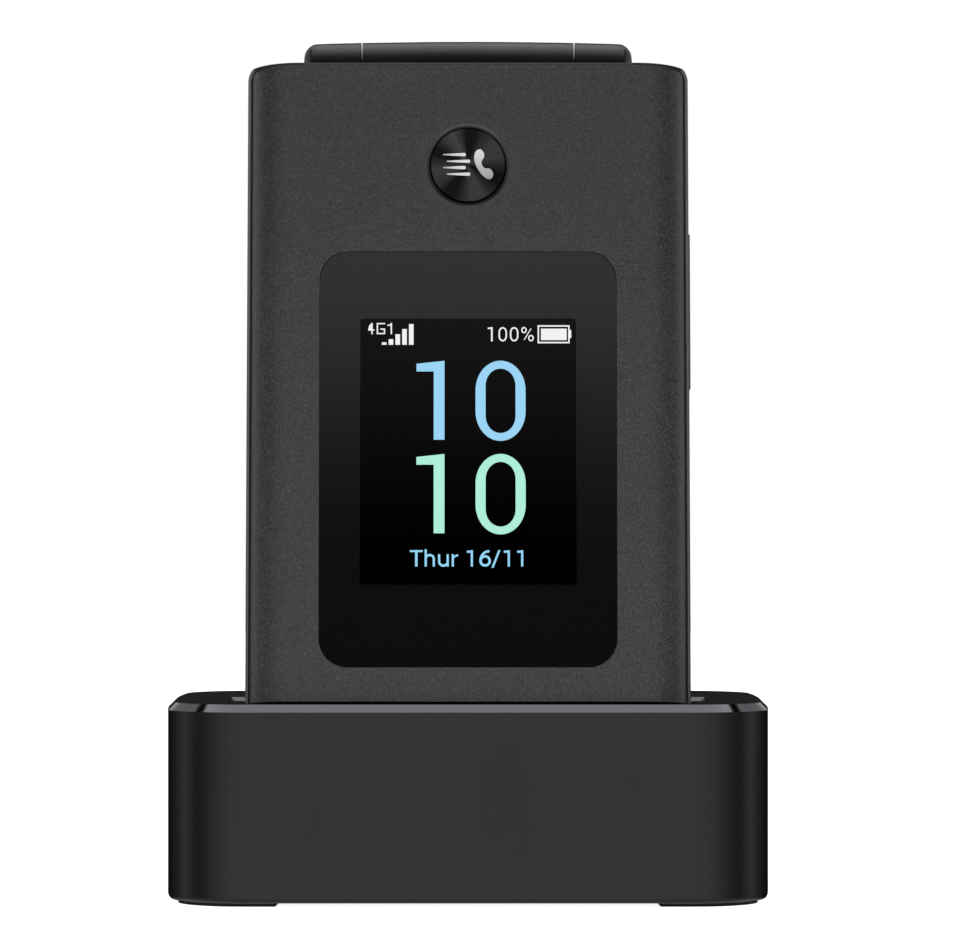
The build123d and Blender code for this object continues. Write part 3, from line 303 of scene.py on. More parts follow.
def figure_six():
    """Outer and inner loop of a 6, 2.1 high."""
    bowl = arc(0.775, 0.72, 0.735, 0.73, 180, 475, 36)
    inside = arc(1.25, 0.90, 0.87, 0.89, 146, 90, 8)
    outside = arc(1.25, 0.72, 1.21, 1.37, 90, 178, 18)
    return [[*bowl, *inside, (1.32, 1.79), (1.32, 2.08), *outside], circle(0.775, 0.72, 0.43, 32)]


def arched(width, stroke, spring, top, inner_top, stem_top):
    """A stem with an arch to its right, as in h and n; turned over it is a u."""
    middle = width / 2
    inner = arc(middle, spring, width / 2 - stroke, inner_top - spring, 180, 0, 12)
    join = 180 - math.degrees(math.acos((middle - stroke) / (width / 2)))
    outer = arc(middle, spring, width / 2, top - spring, 0, join, 14)
    stem = [(stroke, stem_top), (0, stem_top)]
    return [(0, 0), (stroke, 0), *inner, (width - stroke, 0), (width, 0), *outer, *stem]


def turned_over(loop, width, height):
    return [(width - across, height - up) for across, up in loop]


def shifted(loop, dx, dy):
    return [(across + dx, up + dy) for across, up in loop]


def centred_word(name, text, thick, capital, place):
    """Lettering centred on the place, from the height of its capitals."""
    letters = bpy.data.curves.new(name, "FONT")
    letters.body = text
    letters.extrude = thick / 2
    letters.resolution_u = 6
    mesh = closed_mesh(name, letters, Matrix.Identity(4))
    across = [vertex.co.x for vertex in mesh.vertices]
    up = [vertex.co.y for vertex in mesh.vertices]
    middle = FONT_CAPITAL / 2 if text.isalnum() else (min(up) + max(up)) / 2
    scale = capital / FONT_CAPITAL
    centring = Matrix.Translation((-(min(across) + max(across)) / 2, -middle, 0))
    mesh.transform(place @ Matrix.Diagonal((scale, scale, 1, 1)) @ centring)
    return mesh


# ---- Materials -------------------------------------------------------------------------------
def add(tree, kind, inputs=None, **settings):
    """Adds a node; an input that is a socket is linked, any other is set."""
    node = tree.nodes.new(kind)
    for key, value in settings.items():
        setattr(node, key, value)
    for key, value in (inputs or {}).items():
        if isinstance(value, bpy.types.NodeSocket):
            tree.links.new(value, node.inputs[key])
        else:
            node.inputs[key].default_value = value
    return node


def tree_of(*values):
    """The node tree of the first socket among some values."""
    return next(value.id_data for value in values if isinstance(value, bpy.types.NodeSocket))


def maths(operation, first, second=0.0, third=0.0):
    inputs = {0: first, 1: second, 2: third}
    return add(tree_of(first, second, third), "ShaderNodeMath", inputs, operation=operation).outputs[0]


def times(first, second):
    return maths("MULTIPLY", first, second)


def plus(first, second):
    return maths("ADD", first, second)


def minus(first, second):
    return maths("SUBTRACT", first, second)


def times_plus(first, second, third):
    return maths("MULTIPLY_ADD", first, second, third)


def above(value, limit):
    return maths("GREATER_THAN", value, limit)


def below(value, limit):
    return maths("LESS_THAN", value, limit)


def mixed(share, first, second, **settings):
    """Colour between two colours."""
    inputs = {0: share, 6: first, 7: second}
    tree = tree_of(share, first, second)
    return add(tree, "ShaderNodeMix", inputs, data_type="RGBA", **settings).outputs[2]


def multiplied(first, second):
    """Two colours or levels multiplied."""
    return mixed(1.0, first, second, blend_type="MULTIPLY")


def scaled(shade, level):
    """A colour made lighter or darker by a level."""
    inputs = {0: shade, "Scale": level}
    return add(tree_of(shade, level), "ShaderNodeVectorMath", inputs, operation="SCALE").outputs[0]


def between(value, low, high, to_low=0.0, to_high=1.0):
    """Maps a value from one range to another, clamped and eased."""
    inputs = {0: value, 1: low, 2: high, 3: to_low, 4: to_high}
    return add(value.id_data, "ShaderNodeMapRange", inputs, interpolation_type="SMOOTHSTEP").outputs[0]


def ramp(value, stops):
    """Colour ramp from (position, colour) stops."""
    node = add(value.id_data, "ShaderNodeValToRGB", {0: value})
    band = node.color_ramp
    while len(band.elements) > 1:
        band.elements.remove(band.elements[-1])
    band.elements[0].position = stops[0][0]
    band.elements[0].color = stops[0][1]
    for position, shade in stops[1:]:
        band.elements.new(position).color = shade
    return node.outputs[0]


def parts(vector):
    """The x, y and z of a vector."""
    return add(vector.id_data, "ShaderNodeSeparateXYZ", {0: vector}).outputs


def object_place(tree):
    """Where a point lies, in metres."""
    return add(tree, "ShaderNodeTexCoord").outputs["Object"]


def noise(place, scale, detail, **inputs):
    """Noise about 0.5, with its scale per metre."""
    inputs = {"Vector": place, "Scale": scale, "Detail": detail, **inputs}
    return add(place.id_data, "ShaderNodeTexNoise", inputs).outputs[0]


def bumped(height, distance, strength=1.0):
    """A normal from a height; the distance is in metres."""
    inputs = {"Strength": strength, "Distance": distance, "Height": height}
    return add(height.id_data, "ShaderNodeBump", inputs).outputs[0]


def shader_group(name, inputs, outputs):
    """An empty node group with named sockets; returns it with what it is given and puts out."""
    group = bpy.data.node_groups.new(name, "ShaderNodeTree")
    for label, default in inputs.items():
        kind = "NodeSocketColor" if isinstance(default, tuple) else "NodeSocketFloat"
        group.interface.new_socket(label, in_out="INPUT", socket_type=kind).default_value = default
    for label, kind in outputs.items():
        group.interface.new_socket(label, in_out="OUTPUT", socket_type="NodeSocket" + kind)
    return group, group.nodes.new("NodeGroupInput").outputs, group.nodes.new("NodeGroupOutput").inputs


def moulded_grain(name):
    """Fine moulded grain with a slow drift of tone and gloss."""
    inputs = {
        "Colour": (0.05, 0.05, 0.05, 1), "Tone drift": 0.06, "Roughness": 0.4, "Gloss drift": 0.05,
        "Grain per metre": 3000.0, "Depth": 0.00001,
    }
    outputs = {"Colour": "Color", "Roughness": "Float", "Normal": "Vector"}
    group, given, result = shader_group(name, inputs, outputs)
    place = object_place(group)
    fine = noise(place, given["Grain per metre"], 2.0)
    drift = minus(noise(place, 55.0, 3.0), 0.5)
    speckle = minus(fine, 0.5)
    both = times_plus(speckle, 0.8, drift)
    tone = times_plus(both, given["Tone drift"], 1.0)
    gloss = times_plus(drift, given["Gloss drift"], given["Roughness"])
    group.links.new(scaled(given["Colour"], tone), result["Colour"])
    group.links.new(gloss, result["Roughness"])
    group.links.new(bumped(fine, given["Depth"]), result["Normal"])
    return group


def paint_flecks(name):
    """Small bright flecks scattered in a mottled paint, some brighter than others."""
    inputs = {
        "Colour": (0.05, 0.05, 0.05, 1), "Fleck": (0.3, 0.3, 0.3, 1), "Flecks per metre": 4000.0,
        "Share": 0.08, "Mottle": 0.2,
    }
    group, given, result = shader_group(name, inputs, {"Colour": "Color"})
    place = object_place(group)
    cells = add(group, "ShaderNodeTexVoronoi", {"Vector": place, "Scale": given["Flecks per metre"]}).outputs
    luck = add(group, "ShaderNodeSeparateColor", {0: cells["Color"]}).outputs
    dot = between(cells["Distance"], 0.30, 0.55, 1.0, 0.0)
    mask = times(times(below(luck[0], given["Share"]), dot), luck[1])
    cloud = noise(place, times(given["Flecks per metre"], 0.42), 2.0)
    uneven = times_plus(luck[2], 0.25, times(cloud, 2.0))
    uneven = minus(uneven, 1.125)  # about 0 on average
    ground = scaled(given["Colour"], times_plus(uneven, given["Mottle"], 1.0))
    group.links.new(mixed(mask, ground, given["Fleck"]), result["Colour"])
    return group


def handling(name):
    """Faint smears and dust where hands go, as one mask."""
    group, given, result = shader_group(name, {"Smear": 0.5, "Dust": 0.3}, {"Mask": "Float"})
    place = object_place(group)
    stretched = add(group, "ShaderNodeMapping", {"Vector": place, "Scale": (1.0, 1.0, 0.45)}).outputs[0]
    wiped = between(noise(stretched, 120.0, 4.0, Roughness=0.6), 0.52, 0.70)
    dotted = between(noise(place, 2600.0, 1.0), 0.70, 0.78)
    total = times_plus(wiped, given["Smear"], times(dotted, given["Dust"]))
    group.links.new(total, result["Mask"])
    return group


def phone_space(name):
    """Where a point lies in the phone's own frame, in millimetres."""
    group, _, result = shader_group(name, {}, {"Place": "Vector"})
    inputs = {
        "Vector": object_place(group), "Location": PHONE @ Vector((0, 0, 0)), "Rotation": (-LEAN, 0, 0),
        "Scale": (0.001, 0.001, 0.001),
    }
    local = add(group, "ShaderNodeMapping", inputs, vector_type="TEXTURE")
    group.links.new(local.outputs[0], result["Place"])
    return group


def group_node(tree, build, inputs=None):
    """Outputs of a node group placed in a tree; build makes the group the first time."""
    group = bpy.data.node_groups.get(build.__name__) or build(build.__name__)
    return add(tree, "ShaderNodeGroup", inputs, node_tree=group).outputs


def in_phone(tree):
    """The x, y and z of a point in the phone's own frame."""
    return parts(group_node(tree, phone_space)[0])


def from_button(tree):
    """How far a point lies to the right of the round button's middle, above it, and from it."""
    low, high = phone_box("quick_call_button")
    across, _, height = in_phone(tree)
    up = minus(height, (low.z + high.z) / 2)
    square = plus(times(up, up), times(across, across))
    return across, up, maths("SQRT", square)


def grained(tree, shade, tone, rough, gloss=0.05, per_metre=3000.0, depth=0.00001):
    """Colour, roughness and normal of a surface with moulded grain; the depth is in metres."""
    inputs = {
        "Colour": shade, "Tone drift": tone, "Roughness": rough, "Gloss drift": gloss,
        "Grain per metre": per_metre, "Depth": depth,
    }
    return group_node(tree, moulded_grain, inputs)


def touched(tree, smear, dust):
    """How much duller a surface is where hands go."""
    return group_node(tree, handling, {"Smear": smear, "Dust": dust})[0]


def new_material(name, **sockets):
    """A material with some of its shader's sockets set, and its node tree."""
    material = bpy.data.materials.new(name)
    material.use_nodes = True
    for key, value in sockets.items():
        shader_input(material, key).default_value = value
    return material, material.node_tree


def bare_material(name):
    """A material with no shader yet, and its node tree."""
    material, tree = new_material(name)
    tree.nodes.clear()
    return material, tree


def shader_input(material, key):
    return material.node_tree.nodes["Principled BSDF"].inputs[key.replace("_", " ")]


def fed_by(material, key):
    """The socket that feeds an input of a material's shader."""
    return shader_input(material, key).links[0].from_socket


def feed(material, **sockets):
    """Links sockets to the inputs of a material's shader."""
    for key, socket in sockets.items():
        material.node_tree.links.new(socket, shader_input(material, key))
    return material


def moulded(name, shade, rough, grain_mm, depth_mm, tone=0.08, smear=0.06):
    """Moulded plastic or rubber with its grain, tone drift and faint handling."""
    material, tree = new_material(name)
    grain = grained(tree, shade, tone, rough, rough * 0.2, 1000.0 / grain_mm, depth_mm * 0.001)
    duller = plus(grain["Roughness"], touched(tree, smear, smear * 0.8))
    return feed(material, Base_Color=grain["Colour"], Roughness=duller, Normal=grain["Normal"])


def metal(name, shade, rough):
    """Bare metal with fine brushing along its length."""
    material, tree = new_material(name, Metallic=1.0)
    brush_mm = 0.12
    inputs = {"Vector": object_place(tree), "Scale": (0.06, 1.0, 1.0)}
    brush = noise(add(tree, "ShaderNodeMapping", inputs).outputs[0], 1000.0 / brush_mm, 2.0)
    grain = grained(tree, shade, 0.1, rough, 0.1)
    normal = bumped(brush, 0.00002, 0.25)
    return feed(material, Base_Color=grain["Colour"], Roughness=grain["Roughness"], Normal=normal)


def glowing(name, shade):
    """A lit area of a screen, at the colour it shows."""
    unlit = {"Base_Color": (0, 0, 0, 1), "Specular_IOR_Level": 0.0, "Roughness": 1.0}
    return new_material(name, Emission_Color=shade, Emission_Strength=1.0, **unlit)[0]


def printed(name, shade):
    return moulded(name, shade, 0.45, 0.2, 0.002, tone=0.05, smear=0.02)


def lid_paint(looks):
    """Satin metallic paint: mottled charcoal with fine flecks, painted brighter towards the lid's foot; in the
    button's dish, painted shade below and painted light above.
    """
    material, tree = new_material("lid_paint", Specular_IOR_Level=1.0, IOR=1.6)
    inputs = {
        "Colour": rgba(looks.lid_paint), "Fleck": rgba(looks.fleck),
        "Flecks per metre": 1000.0 / looks.fleck_size, "Share": 0.15, "Mottle": 2.5,
    }
    flecked = group_node(tree, paint_flecks, inputs)["Colour"]
    grain = grained(tree, flecked, 0.10, 0.38, 0.04, 5200.0, 0.000012)
    _, up, reach = from_button(tree)
    inside = between(reach, DISH_RADIUS - 0.04, DISH_RADIUS + 0.04, 1.0, 0.0)
    # painted light and shade in the button's dish: dark grey below the button, pale grey above it
    dish = mixed(between(up, -4.5, 4.5), grey(32), grey(66))
    low, high = phone_box("lid_outer_cover")
    # painted light: the paint is drawn brighter towards the lid's foot than at its top
    foot_painted_light, top_painted_light = 1.2, 0.97
    level = between(in_phone(tree)[2], low.z, high.z, foot_painted_light, top_painted_light)
    shade = mixed(inside, scaled(grain["Colour"], level), dish)
    duller = plus(grain["Roughness"], touched(tree, 0.03, 0.05))
    return feed(material, Base_Color=shade, Roughness=duller, Normal=grain["Normal"])


def lid_frame(looks):
    """Black plastic with satin grey sides, paler grey at its top corners, a painted highlight on the lip under the
    barrel, and a dull line round the cover.
    """
    material = moulded("frame_paint", rgba(looks.frame), 0.22, 0.3, 0.002, smear=0.03)
    tree = material.node_tree
    side_band = 0.9
    corner_depth = 3.0
    corner_height = 6.0
    x, y, z = in_phone(tree)
    aside = maths("ABSOLUTE", x)
    high = phone_box("lid_inner_cover")[1]
    along_sides = above(aside, high.x - side_band)
    in_front = below(y, LIP_DEPTH)
    past_hinge = times(above(aside, BARREL_END), below(y, corner_depth))
    shoulder = times(past_hinge, above(z, high.z - corner_height))
    # painted highlight: the lip's top edge under the barrel is drawn pale grey, palest at the top
    lip = times(between(z, COVER_TOP + 0.08, COVER_TOP + 0.45), in_front)
    lip = times(lip, below(aside, BARREL_END))
    seam = times(above(z, COVER_TOP - 0.1), below(z, COVER_TOP + 0.09))
    seam = times(seam, in_front)
    shade = mixed(shoulder, fed_by(material, "Base_Color"), grey(36))
    shade = mixed(lip, shade, grey(68))
    shade = mixed(along_sides, shade, rgba(looks.edge_paint))
    duller = times_plus(seam, 0.6, fed_by(material, "Roughness"))
    return feed(material, Base_Color=shade, Roughness=duller)


def cradle_plastic(looks):
    """Glossy black plastic; its bevel round the rim is drawn pale metallic grey and smoother, a painted highlight
    of the light overhead.
    """
    material = moulded("dock_plastic", rgba(looks.cradle), 0.26, 0.28, 0.003, tone=0.12, smear=0.03)
    tree = material.node_tree
    bevel_height = 0.0014
    facing = parts(add(tree, "ShaderNodeNewGeometry").outputs["Normal"])[2]
    sloped = times(between(facing, 0.55, 0.62), between(facing, 0.80, 0.88, 1.0, 0.0))
    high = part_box("dock_shell")[1].z
    # painted highlight on the sloping bevel at the top of the rim: pale metallic grey, smoother
    rim = times(sloped, above(parts(object_place(tree))[2], high - bevel_height))
    shade = mixed(rim, fed_by(material, "Base_Color"), rgba(looks.cradle_edge))
    polish = times_plus(rim, -0.18, fed_by(material, "Roughness"))
    return feed(material, Base_Color=shade, Metallic=rim, Roughness=polish)


# Painted reflection of the spun face: its shade by angle, clockwise from the top in degrees, light and dark wedges
# for the lights a turned face reflects.
SPUN_REFLECTION_WEDGES = (
    (0, 14), (14, 15), (30, 38), (50, 53), (75, 51), (92, 31), (106, 12), (122, 8), (138, 30), (152, 50),
    (172, 53), (190, 34), (205, 13), (222, 13), (236, 42), (262, 54), (276, 34), (288, 14), (302, 18),
    (316, 47), (332, 59), (346, 42), (356, 15),
)


def spun_metal():
    """Black anodised face turned on a lathe: a painted reflection in a fan of light and dark wedges, with fine
    streaks and painted shade at its edge.
    """
    material, tree = new_material("spun_metal", Specular_IOR_Level=0.1)
    across, up, reach = from_button(tree)
    angle = maths("ARCTAN2", across, up)
    turn = maths("FRACT", plus(maths("DIVIDE", angle, 2 * math.pi), 1.0))
    # painted reflection: a fan of light and dark wedges by angle round the button
    fan = ramp(turn, [(degrees / 360, grey(shade)) for degrees, shade in SPUN_REFLECTION_WEDGES])
    outward = add(tree, "ShaderNodeCombineXYZ", {0: across, 1: up}).outputs[0]
    direction = add(tree, "ShaderNodeVectorMath", {0: outward}, operation="NORMALIZE").outputs[0]
    streaks = minus(noise(direction, 14.0, 4.0), 0.5)
    # painted shade at the face's edge beside the gap: darker past RIM_RADIUS
    rim = between(reach, RIM_RADIUS - 0.05, RIM_RADIUS + 0.05, 1.0, 0.3)
    level = times(times_plus(streaks, 0.8, 1.0), rim)
    dull = between(reach, 0.0, 5.0, 0.32, 0.38)
    radians_per_mm = 42.0
    turned = bumped(maths("SINE", times(reach, radians_per_mm)), 0.000004, 0.5)
    return feed(material, Base_Color=scaled(fan, level), Roughness=dull, Normal=turned)


def smoked_panel(name, shade, rough, **sockets):
    """High-gloss dark panel with a trace of smearing in its gloss."""
    material, tree = new_material(name, **sockets)
    grain = grained(tree, shade, 0.05, rough, 0.02, 400.0)
    duller = plus(grain["Roughness"], touched(tree, 0.015, 0.03))
    return feed(material, Base_Color=grain["Colour"], Roughness=duller)


def silver_mark(name, shade, axis, dim, bright):
    """Bright metal inlay; dim and bright are (place, level) across (0) or up (1) from the button's middle."""
    material, tree = new_material(name, Specular_IOR_Level=0.3)
    level = between(from_button(tree)[axis], dim[0], bright[0], dim[1], bright[1])
    grain = grained(tree, shade, 0.3, 0.45, per_metre=4500.0, depth=0.000004)
    toned = scaled(grain["Colour"], level)
    return feed(material, Base_Color=toned, Roughness=grain["Roughness"], Normal=grain["Normal"])


# ---- Operators -------------------------------------------------------------------------------
class FLIPPHONE_OT_stage(bpy.types.Operator):
    """Sets up the white floor, the lamps, the reflected studio and the camera"""

    bl_idname = "flip_phone.stage"
    bl_label = "Stage and camera"

    def execute(self, context):
        looks = context.scene.flip_phone_stage
        self.floor(looks.floor_size)
        self.world(context.scene, looks.ambient)
        self.studio(looks)
        self.lamps(looks)
        self.camera(context.scene)
        context.scene.view_settings.view_transform = "Standard"
        return {"FINISHED"}

    def floor(self, size):
        mesh = bpy.data.meshes.new("floor")
        half = size / 2
        corners = [(across, deep, 0) for across, deep in box(-half, half, -half, half)]
        mesh.from_pydata(corners, [], [(0, 1, 2, 3)])
        floor = in_scene("floor", mesh)
        floor.visible_glossy = False
        material, tree = bare_material("white_floor")
        paper = add(tree, "ShaderNodeBsdfDiffuse", {"Color": (0.86, 0.86, 0.86, 1)}).outputs[0]
        lift = add(tree, "ShaderNodeEmission", {"Color": (1, 1, 1, 1), "Strength": 0.9}).outputs[0]
        seen = add(tree, "ShaderNodeAddShader", {0: paper, 1: lift}).outputs[0]
        by_camera = add(tree, "ShaderNodeLightPath").outputs["Is Camera Ray"]
        choice = add(tree, "ShaderNodeMixShader", {0: by_camera, 1: paper, 2: seen})
        add(tree, "ShaderNodeOutputMaterial", {0: choice.outputs[0]})
        mesh.materials.append(material)

    def world(self, scene, ambient):
        world = bpy.data.worlds.new("white_studio")
        scene.world = world
        world.use_nodes = True
        tree = world.node_tree
        tree.nodes.clear()
        rays = add(tree, "ShaderNodeLightPath").outputs
        seen = maths("MAXIMUM", rays["Is Camera Ray"], rays["Is Glossy Ray"])
        seen = maths("MAXIMUM", seen, rays["Is Transmission Ray"])
        strength = add(tree, "ShaderNodeMix", {0: seen, 2: ambient, 3: 1.0}).outputs[0]
        light = add(tree, "ShaderNodeBackground", {"Color": (1, 1, 1, 1), "Strength": strength})
        add(tree, "ShaderNodeOutputWorld", {0: light.outputs[0]})

    def studio(self, looks):
        """A dome of panels and dark flags that only reflections see."""
        mesh = bpy.data.meshes.new("studio_panels")
        dome = bmesh.new()
        bmesh.ops.create_uvsphere(dome, u_segments=96, v_segments=64, radius=3.0)
        bmesh.ops.reverse_faces(dome, faces=dome.faces)
        dome.to_mesh(mesh)
        dome.free()
        studio = in_scene("studio_panels", mesh)
        for kind in ("camera", "diffuse", "transmission", "volume_scatter", "shadow"):
            setattr(studio, "visible_" + kind, False)
        material, tree = bare_material("studio_panels")
        towards = add(tree, "ShaderNodeVectorMath", {0: object_place(tree)}, operation="NORMALIZE").outputs[0]
        x, y, z = parts(towards)
        aside = maths("ABSOLUTE", x)
        ahead = times(y, -1.0)
        height = maths("DEGREES", maths("ARCSINE", z))
        turned = maths("DEGREES", maths("ARCTAN2", aside, ahead))
        pitch = maths("DEGREES", maths("ARCTAN2", z, ahead))
        upright = self.by_height(height, turned, looks)
        round_about = multiplied(upright, self.by_turn(height, turned, looks.side_strip))
        slant = maths("DIVIDE", aside, maths("MAXIMUM", z, 0.01))
        overhead = self.panel_overhead(pitch, slant, looks.overhead)
        shade = mixed(between(height, 26.0, 46.0), round_about, overhead)
        glow = add(tree, "ShaderNodeEmission", {"Color": shade, "Strength": 1.0})
        add(tree, "ShaderNodeOutputMaterial", {0: glow.outputs[0]})
        material.cycles.emission_sampling = "NONE"
        mesh.materials.append(material)

    def by_height(self, height, turned, looks):
        """Panels in front and beside, from the floor up."""
        low, front = looks.low_front, looks.front_panel
        ahead_levels = self.by_angle(height, -90, [
            (-90, 0.5), (-30, 0.6), (-12, low), (3.5, low), (7, 0.01), (14.7, 0.003), (15.1, 0.014),
            (15.5, 0.045), (15.97, 0.1), (16.4, 0.175), (16.83, 0.27), (17.26, 0.395), (17.7, 0.52),
            (18.13, 0.63), (18.5, front), (22, front), (26, 0.15), (42, 0.1), (90, 0.1),
        ])
        side_levels = self.by_angle(height, -90, [
            (-90, 0.5), (-30, 0.6), (-12, low), (3.5, low), (8, 0.7), (30, 0.7), (42, 0.1), (90, 0.1),
        ])
        return mixed(between(turned, 8.0, 26.0), ahead_levels, side_levels)

    def by_turn(self, height, turned, strip):
        """How far the panels fall off from the front round to the back."""
        near_floor = self.by_angle(turned, 0, [
            (0, 1.0), (19, 0.86), (38, 0.65), (58, 0.30), (69, 0.09), (80, 0.10), (88, 0.36 * strip),
            (96, 0.47 * strip), (101, 0.46 * strip), (107, 0.31 * strip), (115, 0.13 * strip), (128, 0.03),
            (145, 0.0), (165, 0.0), (180, 0.014),
        ])
        higher_up = self.by_angle(turned, 0, [
            (0, 1.0), (8, 0.97), (20, 0.66), (32, 0.2), (42, 0.03), (58, 0.04), (70, 0.2), (86, 0.7 * strip),
            (110, 0.9 * strip), (128, 0.7), (138, 0.35), (150, 0.36), (160, 0.65), (167, 0.5), (171, 0.03),
            (180, 0.0),
        ])
        by_turn = mixed(between(height, 2.0, 8.0), near_floor, higher_up)
        low_limit = between(height, -40.0, -16.0)
        flagged = times(low_limit, between(height, 26.0, 46.0, 1.0, 0.0))
        return mixed(flagged, (1, 1, 1, 1), by_turn)

    def panel_overhead(self, pitch, slant, level):
        """The panel overhead, by pitch from front to back and by slant to the sides."""
        along = self.by_angle(pitch, 0, [
            (0, 0.1), (40, 0.1), (62, 0.023 * level), (68.5, 0.055 * level), (75.5, 0.117 * level),
            (83, 0.26 * level), (90.6, 0.515 * level), (99, 0.77 * level), (108, 0.945 * level), (118, level),
            (131, 0.835 * level), (147, 0.43 * level), (165, 0.2 * level), (180, 0.1),
        ])
        beside = self.by_share(maths("DIVIDE", slant, 2.0), [
            (0, 1), (0.04, 0.98), (0.1, 0.9), (0.165, 0.75), (0.235, 0.68), (0.285, 0.6), (0.2975, 0.0),
            (0.35, 0.0), (0.37, 0.25), (0.525, 0.3), (0.7, 0.9), (1, 1),
        ])
        return multiplied(along, beside)

    def by_angle(self, angle, start, levels):
        """Brightness from (degrees, level) pairs over the 180 degrees from start."""
        share = maths("DIVIDE", minus(angle, start), 180.0)
        return self.by_share(share, [((degrees - start) / 180, level) for degrees, level in levels])

    def by_share(self, share, levels):
        return ramp(share, [(position, (level, level, level, 1)) for position, level in levels])

    def lamps(self, looks):
        spots = (
            ("key_lamp", looks.key_power, 0.9, (-0.25, -0.9, 1.15)),
            ("left_lamp", looks.fill_power, 0.7, (-1.1, -0.5, 0.55)),
            ("right_lamp", looks.fill_power, 0.7, (1.1, -0.5, 0.55)),
            ("back_lamp", looks.fill_power, 0.8, (0.3, 1.1, 0.9)),
        )
        aim = Vector((0, 0, 0.05))
        for name, energy, size, place in spots:
            light = bpy.data.lights.new(name, "AREA")
            light.shape = "DISK"
            light.size = size
            light.energy = energy
            lamp = in_scene(name, light)
            lamp.location = place
            lamp.rotation_euler = (aim - Vector(place)).to_track_quat("-Z", "Y").to_euler()
            lamp.visible_glossy = False

    def camera(self, scene):
        data = bpy.data.cameras.new("front_view")
        data.sensor_fit = "HORIZONTAL"
        data.sensor_width = 36.0
        data.lens = 206.4
        data.shift_x = 0.0190
        camera = in_scene("front_view", data)
        camera.location = (0.0, -0.724, 0.05428)
        camera.rotation_euler = (math.pi / 2, 0, 0)
        scene.camera = camera


class FLIPPHONE_OT_finishes(bpy.types.Operator):
    """Gives every CAD piece its paint, plastic, metal or rubber"""

    bl_idname = "flip_phone.finishes"
    bl_label = "Finishes"

    def execute(self, context):
        looks = context.scene.flip_phone_finishes
        grain = looks.grain_size
        made = {
            "lid_paint": lid_paint(looks),
            "frame_paint": lid_frame(looks),
            "dock_plastic": cradle_plastic(looks),
            "spun_metal": spun_metal(),
            "smoked_panel": smoked_panel("smoked_panel", srgb(13, 14, 15), 0.03, IOR=1.5),
            "clear_window": smoked_panel("clear_window", grey(6), 0.04),
            "display_black": smoked_panel("display_black", grey(5), 0.15),
        }
        # shade, roughness, size of the grain and its depth, and more where it isn't the usual
        for name, shade, *surface, more in (
            ("housing_plastic", rgba(looks.housing), 0.25, grain, 0.003, {"smear": 0.03}),
            ("back_plastic", rgba(looks.back), 0.46, grain, 0.012, {}),
            ("key_plastic", rgba(looks.keys), 0.38, grain, 0.004, {}),
            ("rocker_plastic", grey(74), 0.36, grain, 0.004, {}),
            ("circuit_board", srgb(12, 84, 48), 0.4, 0.5, 0.01, {"tone": 0.2}),
            ("battery_wrap", grey(128), 0.38, 0.4, 0.004, {}),
            ("rubber", grey(26), 0.75, 0.3, 0.02, {}),
            ("black_plastic", grey(24), 0.5, grain, 0.01, {}),
        ):
            made[name] = moulded(name, shade, *surface, **more)
        for name, shade, rough in (
            ("nav_metal", grey(150), 0.34),
            ("spring_metal", grey(190), 0.3),
            ("steel", grey(185), 0.32),
            ("gold_contact", srgb(226, 186, 108), 0.25),
        ):
            made[name] = metal(name, shade, rough)
        for part in frame["record"]["subparts"]:
            node = frame["nodes"][part["node"]]
            for slot in node.material_slots:
                slot.material = made[part["material_slot"]]
        return {"FINISHED"}


